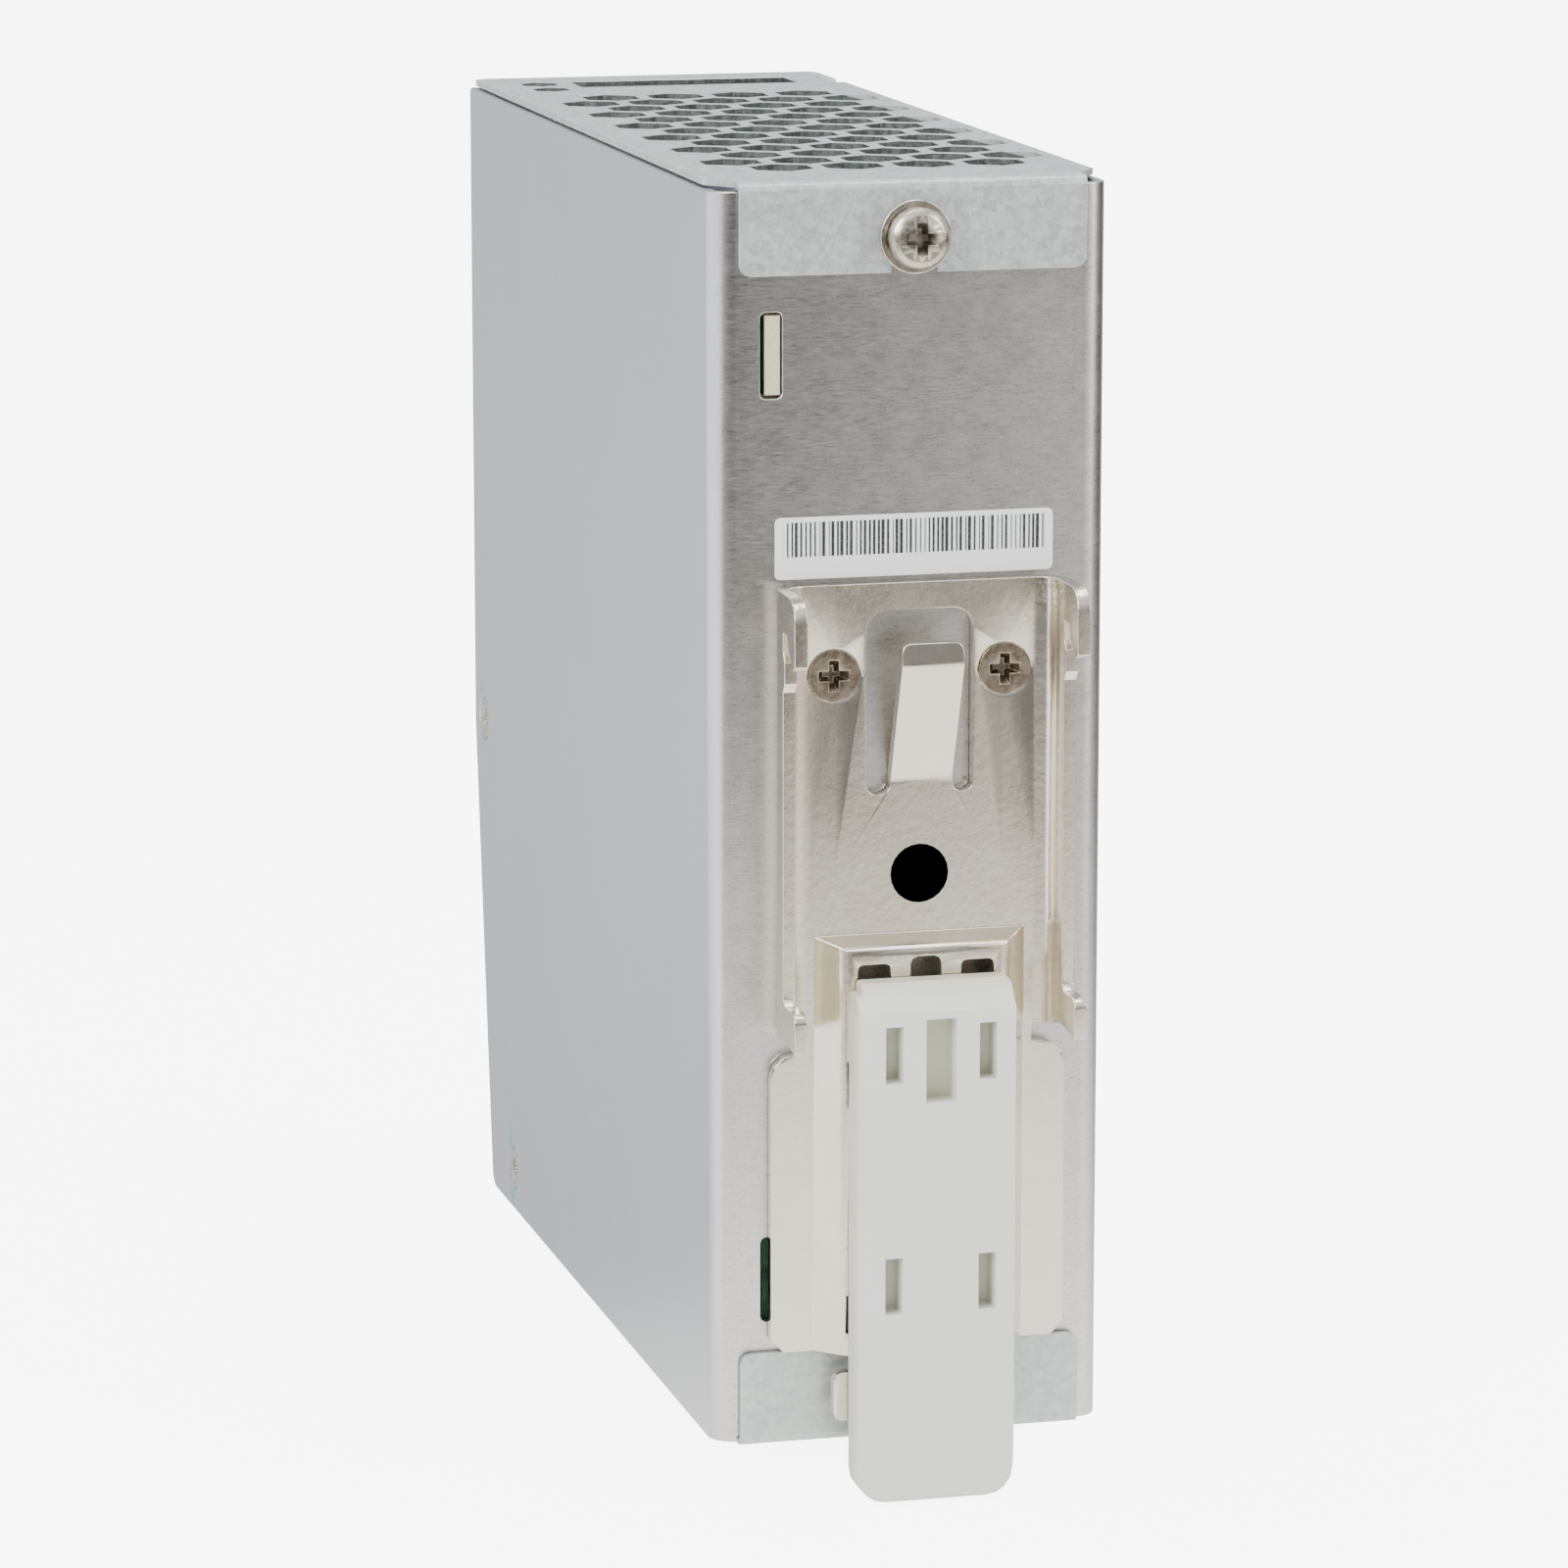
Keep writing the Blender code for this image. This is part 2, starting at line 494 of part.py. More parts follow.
def make_clip():
    """One stamping: back plate, two side walls with rail hooks, spring tongue and latch channel."""
    half, inner = CLIP_HALF, CLIP_HALF - CLIP_STEEL
    plan = rounded([(half, 12 * MM), (half, CLIP_BACK, 3.0 * MM), (-half, CLIP_BACK, 3.0 * MM),
                    (-half, 12 * MM),
                    (-inner, 12 * MM), (-inner, CLIP_FACE, 1.7 * MM), (inner, CLIP_FACE, 1.7 * MM),
                    (inner, 12 * MM)], 4)
    low = CLIP_WALL_BOTTOM
    wall = rounded([
        (-2 * MM, low), (2.6 * MM, low), (4.4 * MM, low + 0.5 * MM), (6.6 * MM, low + 0.5 * MM),
        (HOOK_Y, low),
        (HOOK_Y, 45.3 * MM, 1.0 * MM), (6.0 * MM, 45.3 * MM), (SEAT_Y, 45.9 * MM), (SEAT_Y, 76.4 * MM),
        (6.0 * MM, 77.2 * MM), (6.0 * MM, 79.4 * MM), (SEAT_Y, 80.2 * MM), (SEAT_Y, RAIL_TOP_Z),
        (6.9 * MM, RAIL_TOP_Z), (7.6 * MM, 80.6 * MM), (9.2 * MM, 79.1 * MM), (HOOK_Y, 79.5 * MM),
        (HOOK_Y, CLIP_TOP, 2.3 * MM), (-2 * MM, CLIP_TOP)], 4)
    walls = common(prism("Z", plan, 30 * MM, 95 * MM), prism("X", wall, -20 * MM, 20 * MM))

    wing, foot, wing_top = 15.05 * MM, 9.1 * MM, 39.4 * MM
    flat = rounded([(-wing + 1.3 * MM, foot), (wing - 1.3 * MM, foot), (wing, foot + 1.3 * MM),
                    (wing, wing_top, 2.5 * MM), (11.6 * MM, wing_top), (11.6 * MM, CLIP_TOP - 1 * MM),
                    (-11.6 * MM, CLIP_TOP - 1 * MM), (-11.6 * MM, wing_top), (-wing, wing_top, 2.5 * MM),
                    (-wing, foot + 1.3 * MM)], 3)
    plate = prism("Y", flat, CLIP_BACK, CLIP_FACE)

    base, crest, top_base, top_crest = 11.1 * MM, 8.2 * MM, 51.3 * MM, 50.2 * MM
    under, tuck = 5 * MM, 0.5 * MM
    hat_base = [(-base, foot), (base, foot), (base, top_base), (-base, top_base)]
    hat_crest = [(-crest, foot), (crest, foot), (crest, top_crest), (-crest, top_crest)]
    hat = loft("Y", hat_base, CLIP_FACE - 0.4 * MM, hat_crest, CHANNEL_FACE)
    hat = bevelled(hat, 0.6 * MM, 2, lambda edge: all(v.co.y > CHANNEL_FACE - 0.01 * MM for v in edge.verts)
                   and not all(abs(v.co.z - foot) < 0.01 * MM for v in edge.verts))
    slope = (base - crest) / (CHANNEL_FACE - CLIP_FACE)
    low_y = CLIP_BACK - 0.5 * MM
    wide = base - tuck + slope * (CLIP_BACK - low_y)
    in_crest = crest - tuck
    hollow = loft("Y", [(-wide, foot - under), (wide, foot - under), (wide, top_base - tuck),
                        (-wide, top_base - tuck)],
                  low_y, [(-in_crest, foot - under), (in_crest, foot - under),
                          (in_crest, top_crest - 0.8 * MM),
                          (-in_crest, top_crest - 0.8 * MM)], CHANNEL_FACE - CLIP_STEEL)
    body = cut(fused(walls, plate, hat), hollow)

    tab_low, tab_high, neck = 2.5 * MM, 7.4 * MM, 5 * MM
    tab = rounded([(-neck, 14 * MM), (-neck, tab_high), (-9.3 * MM, tab_high, 0.8 * MM),
                   (-9.3 * MM, tab_low, 0.8 * MM), (9.3 * MM, tab_low, 0.8 * MM),
                   (9.3 * MM, tab_high, 0.8 * MM),
                   (neck, tab_high), (neck, 14 * MM)], 2)
    body = fused(body, prism("Y", tab, CHANNEL_FACE - CLIP_STEEL, CHANNEL_FACE))

    window, tongue_foot, tongue_right, tongue_left = 5.4 * MM, 65.0 * MM, -3.35 * MM, 2.95 * MM
    holes = [prism("Y", rounded([
        (-window, tongue_foot, 0.95 * MM), (tongue_right, tongue_foot, 0.95 * MM),
        (tongue_right, 66.6 * MM),
        (tongue_left, 66.6 * MM), (tongue_left, tongue_foot, 1.1 * MM), (window, tongue_foot, 1.1 * MM),
        (window, 83.3 * MM, 2.0 * MM), (-window, 83.3 * MM, 2.0 * MM)], 4), -MM, 3 * MM)]
    for x, z in CLIP_SCREWS:
        sink = turned([(0.0, -2 * MM), (1.75 * MM, -2 * MM), (1.75 * MM, -CLIP_STEEL * 0.9),
                       (2.95 * MM, 0.0),
                       (2.95 * MM, 1 * MM), (0.0, 1 * MM)], 24)
        holes.append(moved(aimed(sink, (0, 1, 0)), (x, CLIP_FACE, z)))
    channel = (2.2 * MM, 5 * MM)
    slots, side_windows = [], []
    for sign in (-1, 1):
        for low_z, high_z in ((33.9 * MM, 48.6 * MM), (10.9 * MM, 25.3 * MM)):
            a, b = sorted((sign * 3.6 * MM, sign * 6.9 * MM))
            slots.append(prism("Y", rounded(rectangle(a, b, low_z, high_z, 0.5 * MM), 2), *channel))
        for low_z, high_z in ((34.4 * MM, 38.9 * MM), (11.4 * MM, 15.2 * MM)):
            a, b = sorted((sign * 6.5 * MM, sign * 8.05 * MM))
            side_windows.append(box((a, b), channel, (low_z, high_z)))
    slots.append(prism("Y", rounded(rectangle(-1.55 * MM, 1.55 * MM, 24.0 * MM, 49.2 * MM, 0.7 * MM), 2),
                       *channel))
    body = cut(body, gathered(holes), gathered(slots), gathered(side_windows))

    tip, bend = 80.6 * MM, 78.4 * MM
    side_view = rounded([(CLIP_BACK, 64.0 * MM), (CLIP_FACE, 64.0 * MM), (CLIP_FACE, 66.6 * MM, 2.0 * MM),
                         (5.8 * MM, bend, 1.2 * MM), (5.55 * MM, tip), (4.25 * MM, tip),
                         (4.45 * MM, bend, 0.8 * MM), (CLIP_BACK, 67.0 * MM, 2.0 * MM)], 3)
    front_view = rounded([(tongue_right, 60 * MM), (tongue_left, 60 * MM), (tongue_left, tip, 0.9 * MM),
                          (tongue_right, tip, 0.9 * MM)], 3)
    tongue = common(prism("X", side_view, -6 * MM, 6 * MM), prism("Y", front_view, -2 * MM, 10 * MM))
    return moved(fused(body, tongue), (CLIP_X, 0, 0))


# ---------------------------------------------------------------- latch slider and its spring

def make_latch():
    """Moulded foot: a plate on the clip's channel with four hooked legs and a rib for the spring."""
    half = LATCH_HALF
    outline = rounded([(-half, LATCH_BOTTOM, 2.7 * MM), (half, LATCH_BOTTOM, 2.7 * MM),
                       (half, LATCH_TOP - 1.1 * MM),
                       (half - 0.7 * MM, LATCH_TOP - 1.1 * MM), (half - 0.7 * MM, LATCH_TOP, 0.4 * MM),
                       (-half, LATCH_TOP, 0.6 * MM)], 4)
    plate = prism("Y", outline, LATCH_BACK, LATCH_FRONT)
    plate = bevelled(plate, 0.35 * MM, 2,
                     lambda edge: all(v.co.y > LATCH_FRONT - 0.01 * MM for v in edge.verts)
                     and all(v.co.z < LATCH_RAMP_Z for v in edge.verts))
    ramp = prism("X", [(6.5 * MM, LATCH_TOP), (LATCH_FRONT, LATCH_RAMP_Z),
                       (LATCH_FRONT + 3 * MM, LATCH_RAMP_Z),
                       (LATCH_FRONT + 3 * MM, LATCH_TOP + 3 * MM), (6.5 * MM, LATCH_TOP + 3 * MM)],
                 -20 * MM, 20 * MM)
    floor = LATCH_FRONT - 2.8 * MM
    windows = [box((-1.9 * MM, 1.2 * MM), (floor, 12 * MM), (35.5 * MM, 43.9 * MM))]
    for sign in (-1, 1):
        for low_z, high_z in ((37.6 * MM, 43.3 * MM), (14.3 * MM, 20.0 * MM)):
            middle = sign * 4.75 * MM - 0.35 * MM
            a, b = middle - 0.9 * MM, middle + 0.9 * MM
            windows.append(box((a, b), (floor, 12 * MM), (low_z, high_z)))
    body = cut(plate, ramp, gathered(windows))
    legs = []
    join = LATCH_BACK + 0.4 * MM
    for sign in (-1, 1):
        for low_z, high_z in LEGS_Z:
            outline = [(LEG_X[0], join), (LEG_X[0], 1.3 * MM), (LEG_X[1], 1.3 * MM),
                       (LEG_X[1] + 0.95 * MM, 1.9 * MM),
                       (LEG_X[1] + 0.95 * MM, 2.6 * MM), (LEG_X[1], 2.6 * MM), (LEG_X[1], join)]
            legs.append(prism("Z", [(sign * x, y) for x, y in outline], low_z, high_z))
    rib = box((-1.1 * MM, 1.1 * MM), (1.2 * MM, join), (SPRING_Z[1] + GAP, 44.0 * MM))
    return fused(body, *legs, rib)


def coil(radius, wire, turns, low, high, around=10, sides=5):
    """Closed tube of wire wound about +Z."""
    shape = bmesh.new()
    count = turns * around
    rise = (high - low - 2 * wire) / count
    previous = None
    for step in range(count + 1):
        angle = 2 * math.pi * step / around
        outward = Vector((math.cos(angle), math.sin(angle), 0.0))
        centre = outward * radius + Vector((0, 0, low + wire + rise * step))
        loop = []
        for side in range(sides):
            tilt = 2 * math.pi * side / sides
            lift = Vector((0, 0, wire * math.sin(tilt)))
            loop.append(shape.verts.new(centre + outward * wire * math.cos(tilt) + lift))
        if previous is None:
            shape.faces.new(loop)
        else:
            for side in range(sides):
                after = (side + 1) % sides
                shape.faces.new((previous[side], previous[after], loop[after], loop[side]))
        previous = loop
    shape.faces.new(previous)
    bmesh.ops.recalc_face_normals(shape, faces=shape.faces)
    return shape


# ---------------------------------------------------------------- terminal blocks

def terminal_block(prefix, poles, pitch, front, wire_face, upward):
    """Housing with one rising-cage clamp for each pole; wires enter through the wire face."""
    def height(depth):
        return wire_face - upward * depth

    def span(near, far):
        return tuple(sorted((height(near), height(far))))

    body = box((BLOCK_X - BLOCK_HALF, BLOCK_X + BLOCK_HALF), (front, front + BLOCK_DEPTH),
               span(0.0, BLOCK_HEIGHT))
    body = bevelled(body, 0.4 * MM, 1, lambda edge: all(v.co.y < front + 0.01 * MM for v in edge.verts))
    screw_z = height(SCREW_FROM_WIRE_FACE)
    cavities, funnels, wells = [], [], []
    centres = [BLOCK_X + ((poles - 1) / 2 - index) * pitch for index in range(poles)]
    for x in centres:
        cavities.append(box((x - 2.6 * MM, x + 2.6 * MM), (front + 4.1 * MM, front + 13.2 * MM),
                            span(3.1 * MM, 16.1 * MM)))
        funnels.append(box((x - 2.15 * MM, x + 2.15 * MM), (front + 7.2 * MM, front + 11.8 * MM),
                           span(-MM, 4 * MM)))
        wells.append(prism("Y", circle(2.4 * MM, (x, screw_z), 16), front - MM, front + 3.1 * MM))
        wells.append(prism("Y", circle(1.6 * MM, (x, screw_z), 12), front + 2.9 * MM, front + 5 * MM))
    body = cut(body, gathered(cavities), gathered(funnels), gathered(wells[::2]), gathered(wells[1::2]))
    node(prefix + "_terminal_housing", body, BLACK_PLASTIC)
    for index, x in enumerate(centres, 1):
        head = 2.05 * MM
        profile = [(0.0, -8.9 * MM), (1.0 * MM, -8.9 * MM), (1.3 * MM, -8.4 * MM), (1.3 * MM, -2.0 * MM),
                   (head, -2.0 * MM), (head, -0.25 * MM), (head - 0.25 * MM, 0.0), (0.0, 0.0)]
        slot = box((-3 * MM, 3 * MM), (-0.3 * MM, 0.3 * MM), (-0.9 * MM, MM))
        screw = cut(turned(profile), cross_recess(1.35 * MM, 0.3 * MM, 1.2 * MM), slot)
        place = (x, front + 0.5 * MM, screw_z)
        node(f"{prefix}_terminal_screw_{index}", moved(aimed(screw, (0, -1, 0)), place), SCREW_STEEL, place,
             True)
        near, far = front + 6.3 * MM, front + 12.7 * MM
        cage = box((x - 2.3 * MM, x + 2.3 * MM), (near, far), span(6.6 * MM, 14.6 * MM))
        opening = box((x - 1.65 * MM, x + 1.65 * MM), (near + MM, far - 0.8 * MM), span(5 * MM, 16 * MM))
        bore = prism("Y", circle(1.55 * MM, (x, screw_z), 12), near - MM, near + 2 * MM)
        node(f"{prefix}_terminal_cage_{index}", cut(cage, opening, bore), CAGE_METAL, (x, near, screw_z))


# ---------------------------------------------------------------- boards and electronic parts

def make_board():
    """Main board, with a tab that stands in the rear wall's upper slot."""
    front, rear = -109.0 * MM, -1.6 * MM
    tab_end = -0.3 * MM
    high0, high1 = BOARD_SLOTS_Z[0]
    inset = 0.35 * MM
    outline = [(front + 8 * MM, 5 * MM), (rear, 5 * MM), (rear, high0 + inset), (tab_end, high0 + inset),
               (tab_end, high1 - inset), (rear, high1 - inset), (rear, 119 * MM), (front, 119 * MM),
               (front, 50 * MM)]
    return prism("X", outline, *BOARD_X)


def standing_can(radius, length, y, z):
    """Capacitor can standing on the board, with a rolled rim and a vent cross in its end."""
    profile = [(radius - 0.4 * MM, 0.0), (radius, 0.4 * MM), (radius, 1.6 * MM),
               (radius - 0.5 * MM, 2.1 * MM),
               (radius, 2.6 * MM), (radius, length - 0.6 * MM), (radius - 0.6 * MM, length), (0.0, length)]
    can = turned([(0.0, 0.0)] + profile, 24)
    score = loft("Z", circle(radius * 0.6, corners=4), length - 0.25 * MM, circle(radius * 0.6, corners=4),
                 length + MM)
    return moved(aimed(cut(can, score), (-1, 0, 0)), (PART_FOOT, y, z))


def toroid(core, inner, outer, thickness, y, z, turns):
    """Ring core wound with wire, standing on the board; the winding is a ribbed skin."""
    shape = bmesh.new()
    around, section = turns * 2, 8
    mean, spread = (inner + outer) / 2, (outer - inner) / 2
    rows = []
    for step in range(around):
        angle = 2 * math.pi * step / around
        swell = core * (1.0 if step % 2 else 0.0)
        row = []
        for side in range(section):
            tilt = 2 * math.pi * (side + 0.5) / section
            r = mean + (spread + swell) * math.cos(tilt)
            row.append(shape.verts.new((r * math.cos(angle), r * math.sin(angle),
                                        (thickness / 2 + swell) * math.sin(tilt))))
        rows.append(row)
    for row, following in zip(rows, rows[1:] + rows[:1]):
        for side in range(section):
            after = (side + 1) % section
            shape.faces.new((row[side], row[after], following[after], following[side]))
    bmesh.ops.recalc_face_normals(shape, faces=shape.faces)
    return moved(aimed(shape, (0, 1, 0)), (PART_FOOT - outer - core - 0.2 * MM, y, z))


def power_package(y, z, facing):
    """Three-lead power package: body, tab with its hole, and leads towards the board."""
    body = bevelled(box((-7 * MM, 8 * MM), (0, 4.4 * MM), (-5 * MM, 5 * MM)), 0.4 * MM, 1)
    tab = box((-13 * MM, -6 * MM), (0, 1.3 * MM), (-5 * MM, 5 * MM))
    hole = prism("Y", circle(1.8 * MM, (-10.2 * MM, 0), 12), -MM, 3 * MM)
    leads = [box((7.5 * MM, 12.9 * MM), (1.6 * MM, 2.2 * MM), (shift - 0.5 * MM, shift + 0.5 * MM))
             for shift in (-2.54 * MM, 0.0, 2.54 * MM)]
    shape = fused(body, cut(tab, hole), *leads)
    if facing < 0:
        bmesh.ops.scale(shape, verts=shape.verts, vec=(1, -1, 1))
        bmesh.ops.reverse_faces(shape, faces=shape.faces)
    return moved(shape, (0, y, z))


def heatsink(y, z, facing, length):
    """Upright aluminium bar with fins on the side away from its package."""
    bar = box((-16 * MM, PART_FOOT - 0.1 * MM), (0, 2.5 * MM), (0, length))
    fins = [box((-15 * MM + index * 6 * MM, -13.6 * MM + index * 6 * MM), (1.5 * MM, 8 * MM), (0, length))
            for index in range(5)]
    shape = fused(bar, *fins)
    if facing < 0:
        bmesh.ops.scale(shape, verts=shape.verts, vec=(1, -1, 1))
        bmesh.ops.reverse_faces(shape, faces=shape.faces)
    return moved(shape, (0, y, z))


def make_transformer():
    """Core: two E halves as one ferrite frame.  Coil: bobbin and winding through its windows."""
    y0, y1, z0, z1 = -80 * MM, -52 * MM, 42 * MM, 74 * MM
    x0, x1 = -12 * MM, PART_FOOT - 3 * MM
    frame = box((x0 + 5 * MM, x1 - 5 * MM), (y0, y1), (z0, z1))
    window = [box((x0 - MM, x1 + MM), (y0 + 5 * MM, y0 + 10 * MM), (z0 + 6 * MM, z1 - 6 * MM)),
              box((x0 - MM, x1 + MM), (y1 - 10 * MM, y1 - 5 * MM), (z0 + 6 * MM, z1 - 6 * MM))]
    core = cut(bevelled(frame, 0.4 * MM, 1), gathered(window))
    gap = 0.4 * MM
    outer = bevelled(box((x0, x1), (y0 + 5 * MM + gap, y1 - 5 * MM - gap),
                         (z0 + 6 * MM + gap, z1 - 6 * MM - gap)),
                     1.5 * MM, 2)
    middle = box((x0 + 5 * MM - gap, x1 - 5 * MM + gap), (y0 + 10 * MM - gap, y1 - 10 * MM + gap), (z0, z1))
    return core, cut(outer, middle)


def fuse_tube(y, z):
    return moved(aimed(turned([(0, 0), (2.6 * MM, 0), (2.6 * MM, 5 * MM), (2.3 * MM, 5.3 * MM),
                               (2.3 * MM, 14.7 * MM),
                               (2.6 * MM, 15 * MM), (2.6 * MM, 20 * MM), (0, 20 * MM)], 16), (0, 0, 1)),
                 (9.8 * MM, y, z))


# ---------------------------------------------------------------- assembly

node("chassis", make_chassis(), CHASSIS_METAL, smooth=True)
node("cover", make_cover(), GALVANISED, smooth=True)
node("rail_clip", make_clip(), NICKEL, smooth=True)

latch_origin = (CLIP_X, LATCH_BACK, RAIL_TOP_Z - RAIL_HEIGHT)
node("latch_slider", moved(make_latch(), (CLIP_X, 0, 0)), NYLON, latch_origin, True)
spring = moved(coil(1.0 * MM, 0.22 * MM, 8, *SPRING_Z), (CLIP_X, SPRING_Y, 0))
node("latch_spring", spring, SPRING_STEEL, (CLIP_X, SPRING_Y, SPRING_Z[0]), True)

for label, (x, z) in zip(("left", "right", "lower"), CLIP_SCREWS):
    place = (CLIP_X + x, CLIP_FACE - 0.1 * MM, z)
    screw = flat_head_screw(2.65 * MM, 1.25 * MM, 1.45 * MM, 6 * MM)
    node("clip_screw_" + label, moved(aimed(screw, (0, 1, 0)), place), SCREW_STEEL, place, True)

washer_back = COVER_REAR + GAP
washer = ring(1.65 * MM, 3.6 * MM, 0.0, 0.5 * MM)
washer_place = (0, washer_back, COVER_SCREW_Z)
node("cover_washer", moved(aimed(washer, (0, 1, 0)), washer_place), SCREW_STEEL, washer_place, True)
head_place = (0, washer_back + 0.5 * MM + GAP, COVER_SCREW_Z)
pan = pan_head_screw(3.0 * MM, 2.1 * MM, 1.45 * MM, 7 * MM)
node("cover_screw", moved(aimed(pan, (0, 1, 0)), head_place), SCREW_STEEL, head_place, True)

for sign, side in ((1, "left"), (-1, "right")):
    for level, y, z in SIDE_SCREWS:
        place = (sign * (CASE_WIDTH / 2 - 0.1 * MM), y, z)
        screw = flat_head_screw(SIDE_HEAD, 0.95 * MM, 1.25 * MM, 4.5 * MM)
        node(f"side_screw_{level}_{side}", moved(aimed(screw, (sign, 0, 0)), place), SCREW_STEEL, place,
             True)

film = 0.15 * MM
node("serial_label", prism("Y", rounded(rectangle(-14.3 * MM, 13.8 * MM, 86.5 * MM, 92.6 * MM, 0.5 * MM),
                                        2),
                           GAP, GAP + film), PAPER)
node("front_label", prism("Y", rounded(rectangle(-16 * MM, 16 * MM, 55 * MM, 84 * MM, MM), 2),
                          -CASE_DEPTH - GAP - film, -CASE_DEPTH - GAP), PAPER)

node("main_board", make_board(), LAMINATE)
node("insulating_sheet", box((17.0 * MM, 17.4 * MM), (-92 * MM, -4.5 * MM), (4 * MM, 120 * MM)), FILM)
node("dc_terminal_board", box((-15 * MM, 12.9 * MM), (DC_FRONT_Y + 14.2 * MM, DC_FRONT_Y + 15.8 * MM),
                              (104 * MM, 122 * MM)), LAMINATE)
node("ac_terminal_board", box((-15 * MM, 12.9 * MM), (AC_FRONT_Y + 14.2 * MM, AC_FRONT_Y + 15.8 * MM),
                              (3 * MM, 21 * MM)), LAMINATE)
terminal_block("dc", 4, 6.1 * MM, DC_FRONT_Y, DC_WIRE_FACE_Z, 1)
terminal_block("ac", 3, 8.2 * MM, AC_FRONT_Y, AC_WIRE_FACE_Z, -1)

trimmer_front = -CASE_DEPTH + 1.6 * MM
trimmer = box((TRIMMER_X - 3.3 * MM, TRIMMER_X + 3.3 * MM), (trimmer_front, trimmer_front + 4.5 * MM),
              (TRIMMER_Z - 3.3 * MM, TRIMMER_Z + 3.3 * MM))
socket = prism("Y", circle(2.0 * MM, (TRIMMER_X, TRIMMER_Z), 20), trimmer_front - MM,
               trimmer_front + 1.3 * MM)
node("voltage_trimmer_body", cut(trimmer, socket), BLUE_PLASTIC)
rotor = cut(turned([(0, -1.0 * MM), (1.7 * MM, -1.0 * MM), (1.7 * MM, 0.15 * MM), (1.5 * MM, 0.35 * MM),
                    (0, 0.35 * MM)]),
            cross_recess(1.3 * MM, 0.28 * MM, 0.8 * MM, 0.35 * MM))
rotor_place = (TRIMMER_X, trimmer_front, TRIMMER_Z)
node("voltage_trimmer_rotor", moved(aimed(rotor, (0, -1, 0)), rotor_place), WHITE_PLASTIC, rotor_place,
     True)
led = turned([(0, -3.4 * MM), (1.75 * MM, -3.4 * MM), (1.75 * MM, -2.6 * MM), (1.5 * MM, -2.6 * MM),
              (1.5 * MM, 0.6 * MM),
              (1.3 * MM, 1.2 * MM), (0.8 * MM, 1.7 * MM), (0, 1.9 * MM)], 16)
led_place = (TRIMMER_X, -CASE_DEPTH + 1.1 * MM, LED_Z)
node("dc_ok_led", moved(aimed(led, (0, -1, 0)), led_place), GREEN_LENS, smooth=True)

node("fuse", fuse_tube(-84 * MM, 8 * MM), GLASS_BODY, smooth=True)
node("inrush_thermistor", moved(aimed(bevelled(turned([(0, 0), (6 * MM, 0), (6 * MM, 4.5 * MM),
                                                       (0, 4.5 * MM)], 20), MM, 1,
                                               lambda edge: edge.calc_face_angle(0) > 1), (0, 1, 0)),
                                (6.5 * MM, -79 * MM, 17 * MM)), FERRITE, smooth=True)
node("line_choke", toroid(0.35 * MM, 3.5 * MM, 9.0 * MM, 10 * MM, -62 * MM, 19 * MM, 18), COPPER,
     smooth=True)
node("x_capacitor", bevelled(box((-1 * MM, PART_FOOT), (-50 * MM, -32 * MM), (8 * MM, 30 * MM)), 0.7 * MM,
                             1), YELLOW_BOX)
node("bridge_rectifier", bevelled(box((-8 * MM, PART_FOOT), (-27 * MM, -23 * MM), (8 * MM, 30 * MM)),
                                  0.6 * MM, 1),
     BLACK_PLASTIC)
node("bulk_capacitor", standing_can(11.0 * MM, 29 * MM, -16 * MM, 52 * MM), BLACK_SLEEVE, smooth=True)
node("primary_heatsink", heatsink(-38 * MM, 38 * MM, 1, 30 * MM), ALUMINIUM)
node("switching_transistor", power_package(-38.3 * MM, 53 * MM, -1), BLACK_PLASTIC)
core, winding = make_transformer()
node("transformer_core", core, FERRITE)
node("transformer_coil", winding, YELLOW_TAPE)
node("secondary_heatsink", heatsink(-44 * MM, 84 * MM, -1, 30 * MM), ALUMINIUM)
node("output_rectifier", power_package(-43.7 * MM, 99 * MM, 1), BLACK_PLASTIC)
for index, y in enumerate((-89 * MM, -77 * MM, -65 * MM), 1):
    node(f"output_capacitor_{index}", standing_can(5.0 * MM, 22 * MM, y, 112 * MM), BLACK_SLEEVE,
         smooth=True)
node("output_choke", toroid(0.4 * MM, 3.0 * MM, 8.5 * MM, 9 * MM, -24 * MM, 104 * MM, 14), COPPER,
     smooth=True)
for index, (y, z) in enumerate(((-10 * MM, 84 * MM), (-10 * MM, 28 * MM)), 1):
    disc = bevelled(turned([(0, 0), (4.2 * MM, 0), (4.2 * MM, 3 * MM), (0, 3 * MM)], 16), 0.8 * MM, 1,
                    lambda edge: edge.calc_face_angle(0) > 1)
    node(f"safety_capacitor_{index}", moved(aimed(disc, (0, 1, 0)), (8.3 * MM, y, z)), BLUE_DISC,
         smooth=True)
node("optocoupler", bevelled(box((9.2 * MM, PART_FOOT), (-64 * MM, -59.5 * MM), (86 * MM, 92.5 * MM)),
                             0.3 * MM, 1),
     WHITE_PLASTIC)
node("control_chip", bevelled(box((10.6 * MM, PART_FOOT), (-78 * MM, -71.5 * MM), (86 * MM, 95.5 * MM)),
                              0.3 * MM, 1),
     BLACK_PLASTIC)
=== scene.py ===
"""A slim power supply in a folded metal case, seen from the back, where a sprung clip grips its rail."""
import json
import math

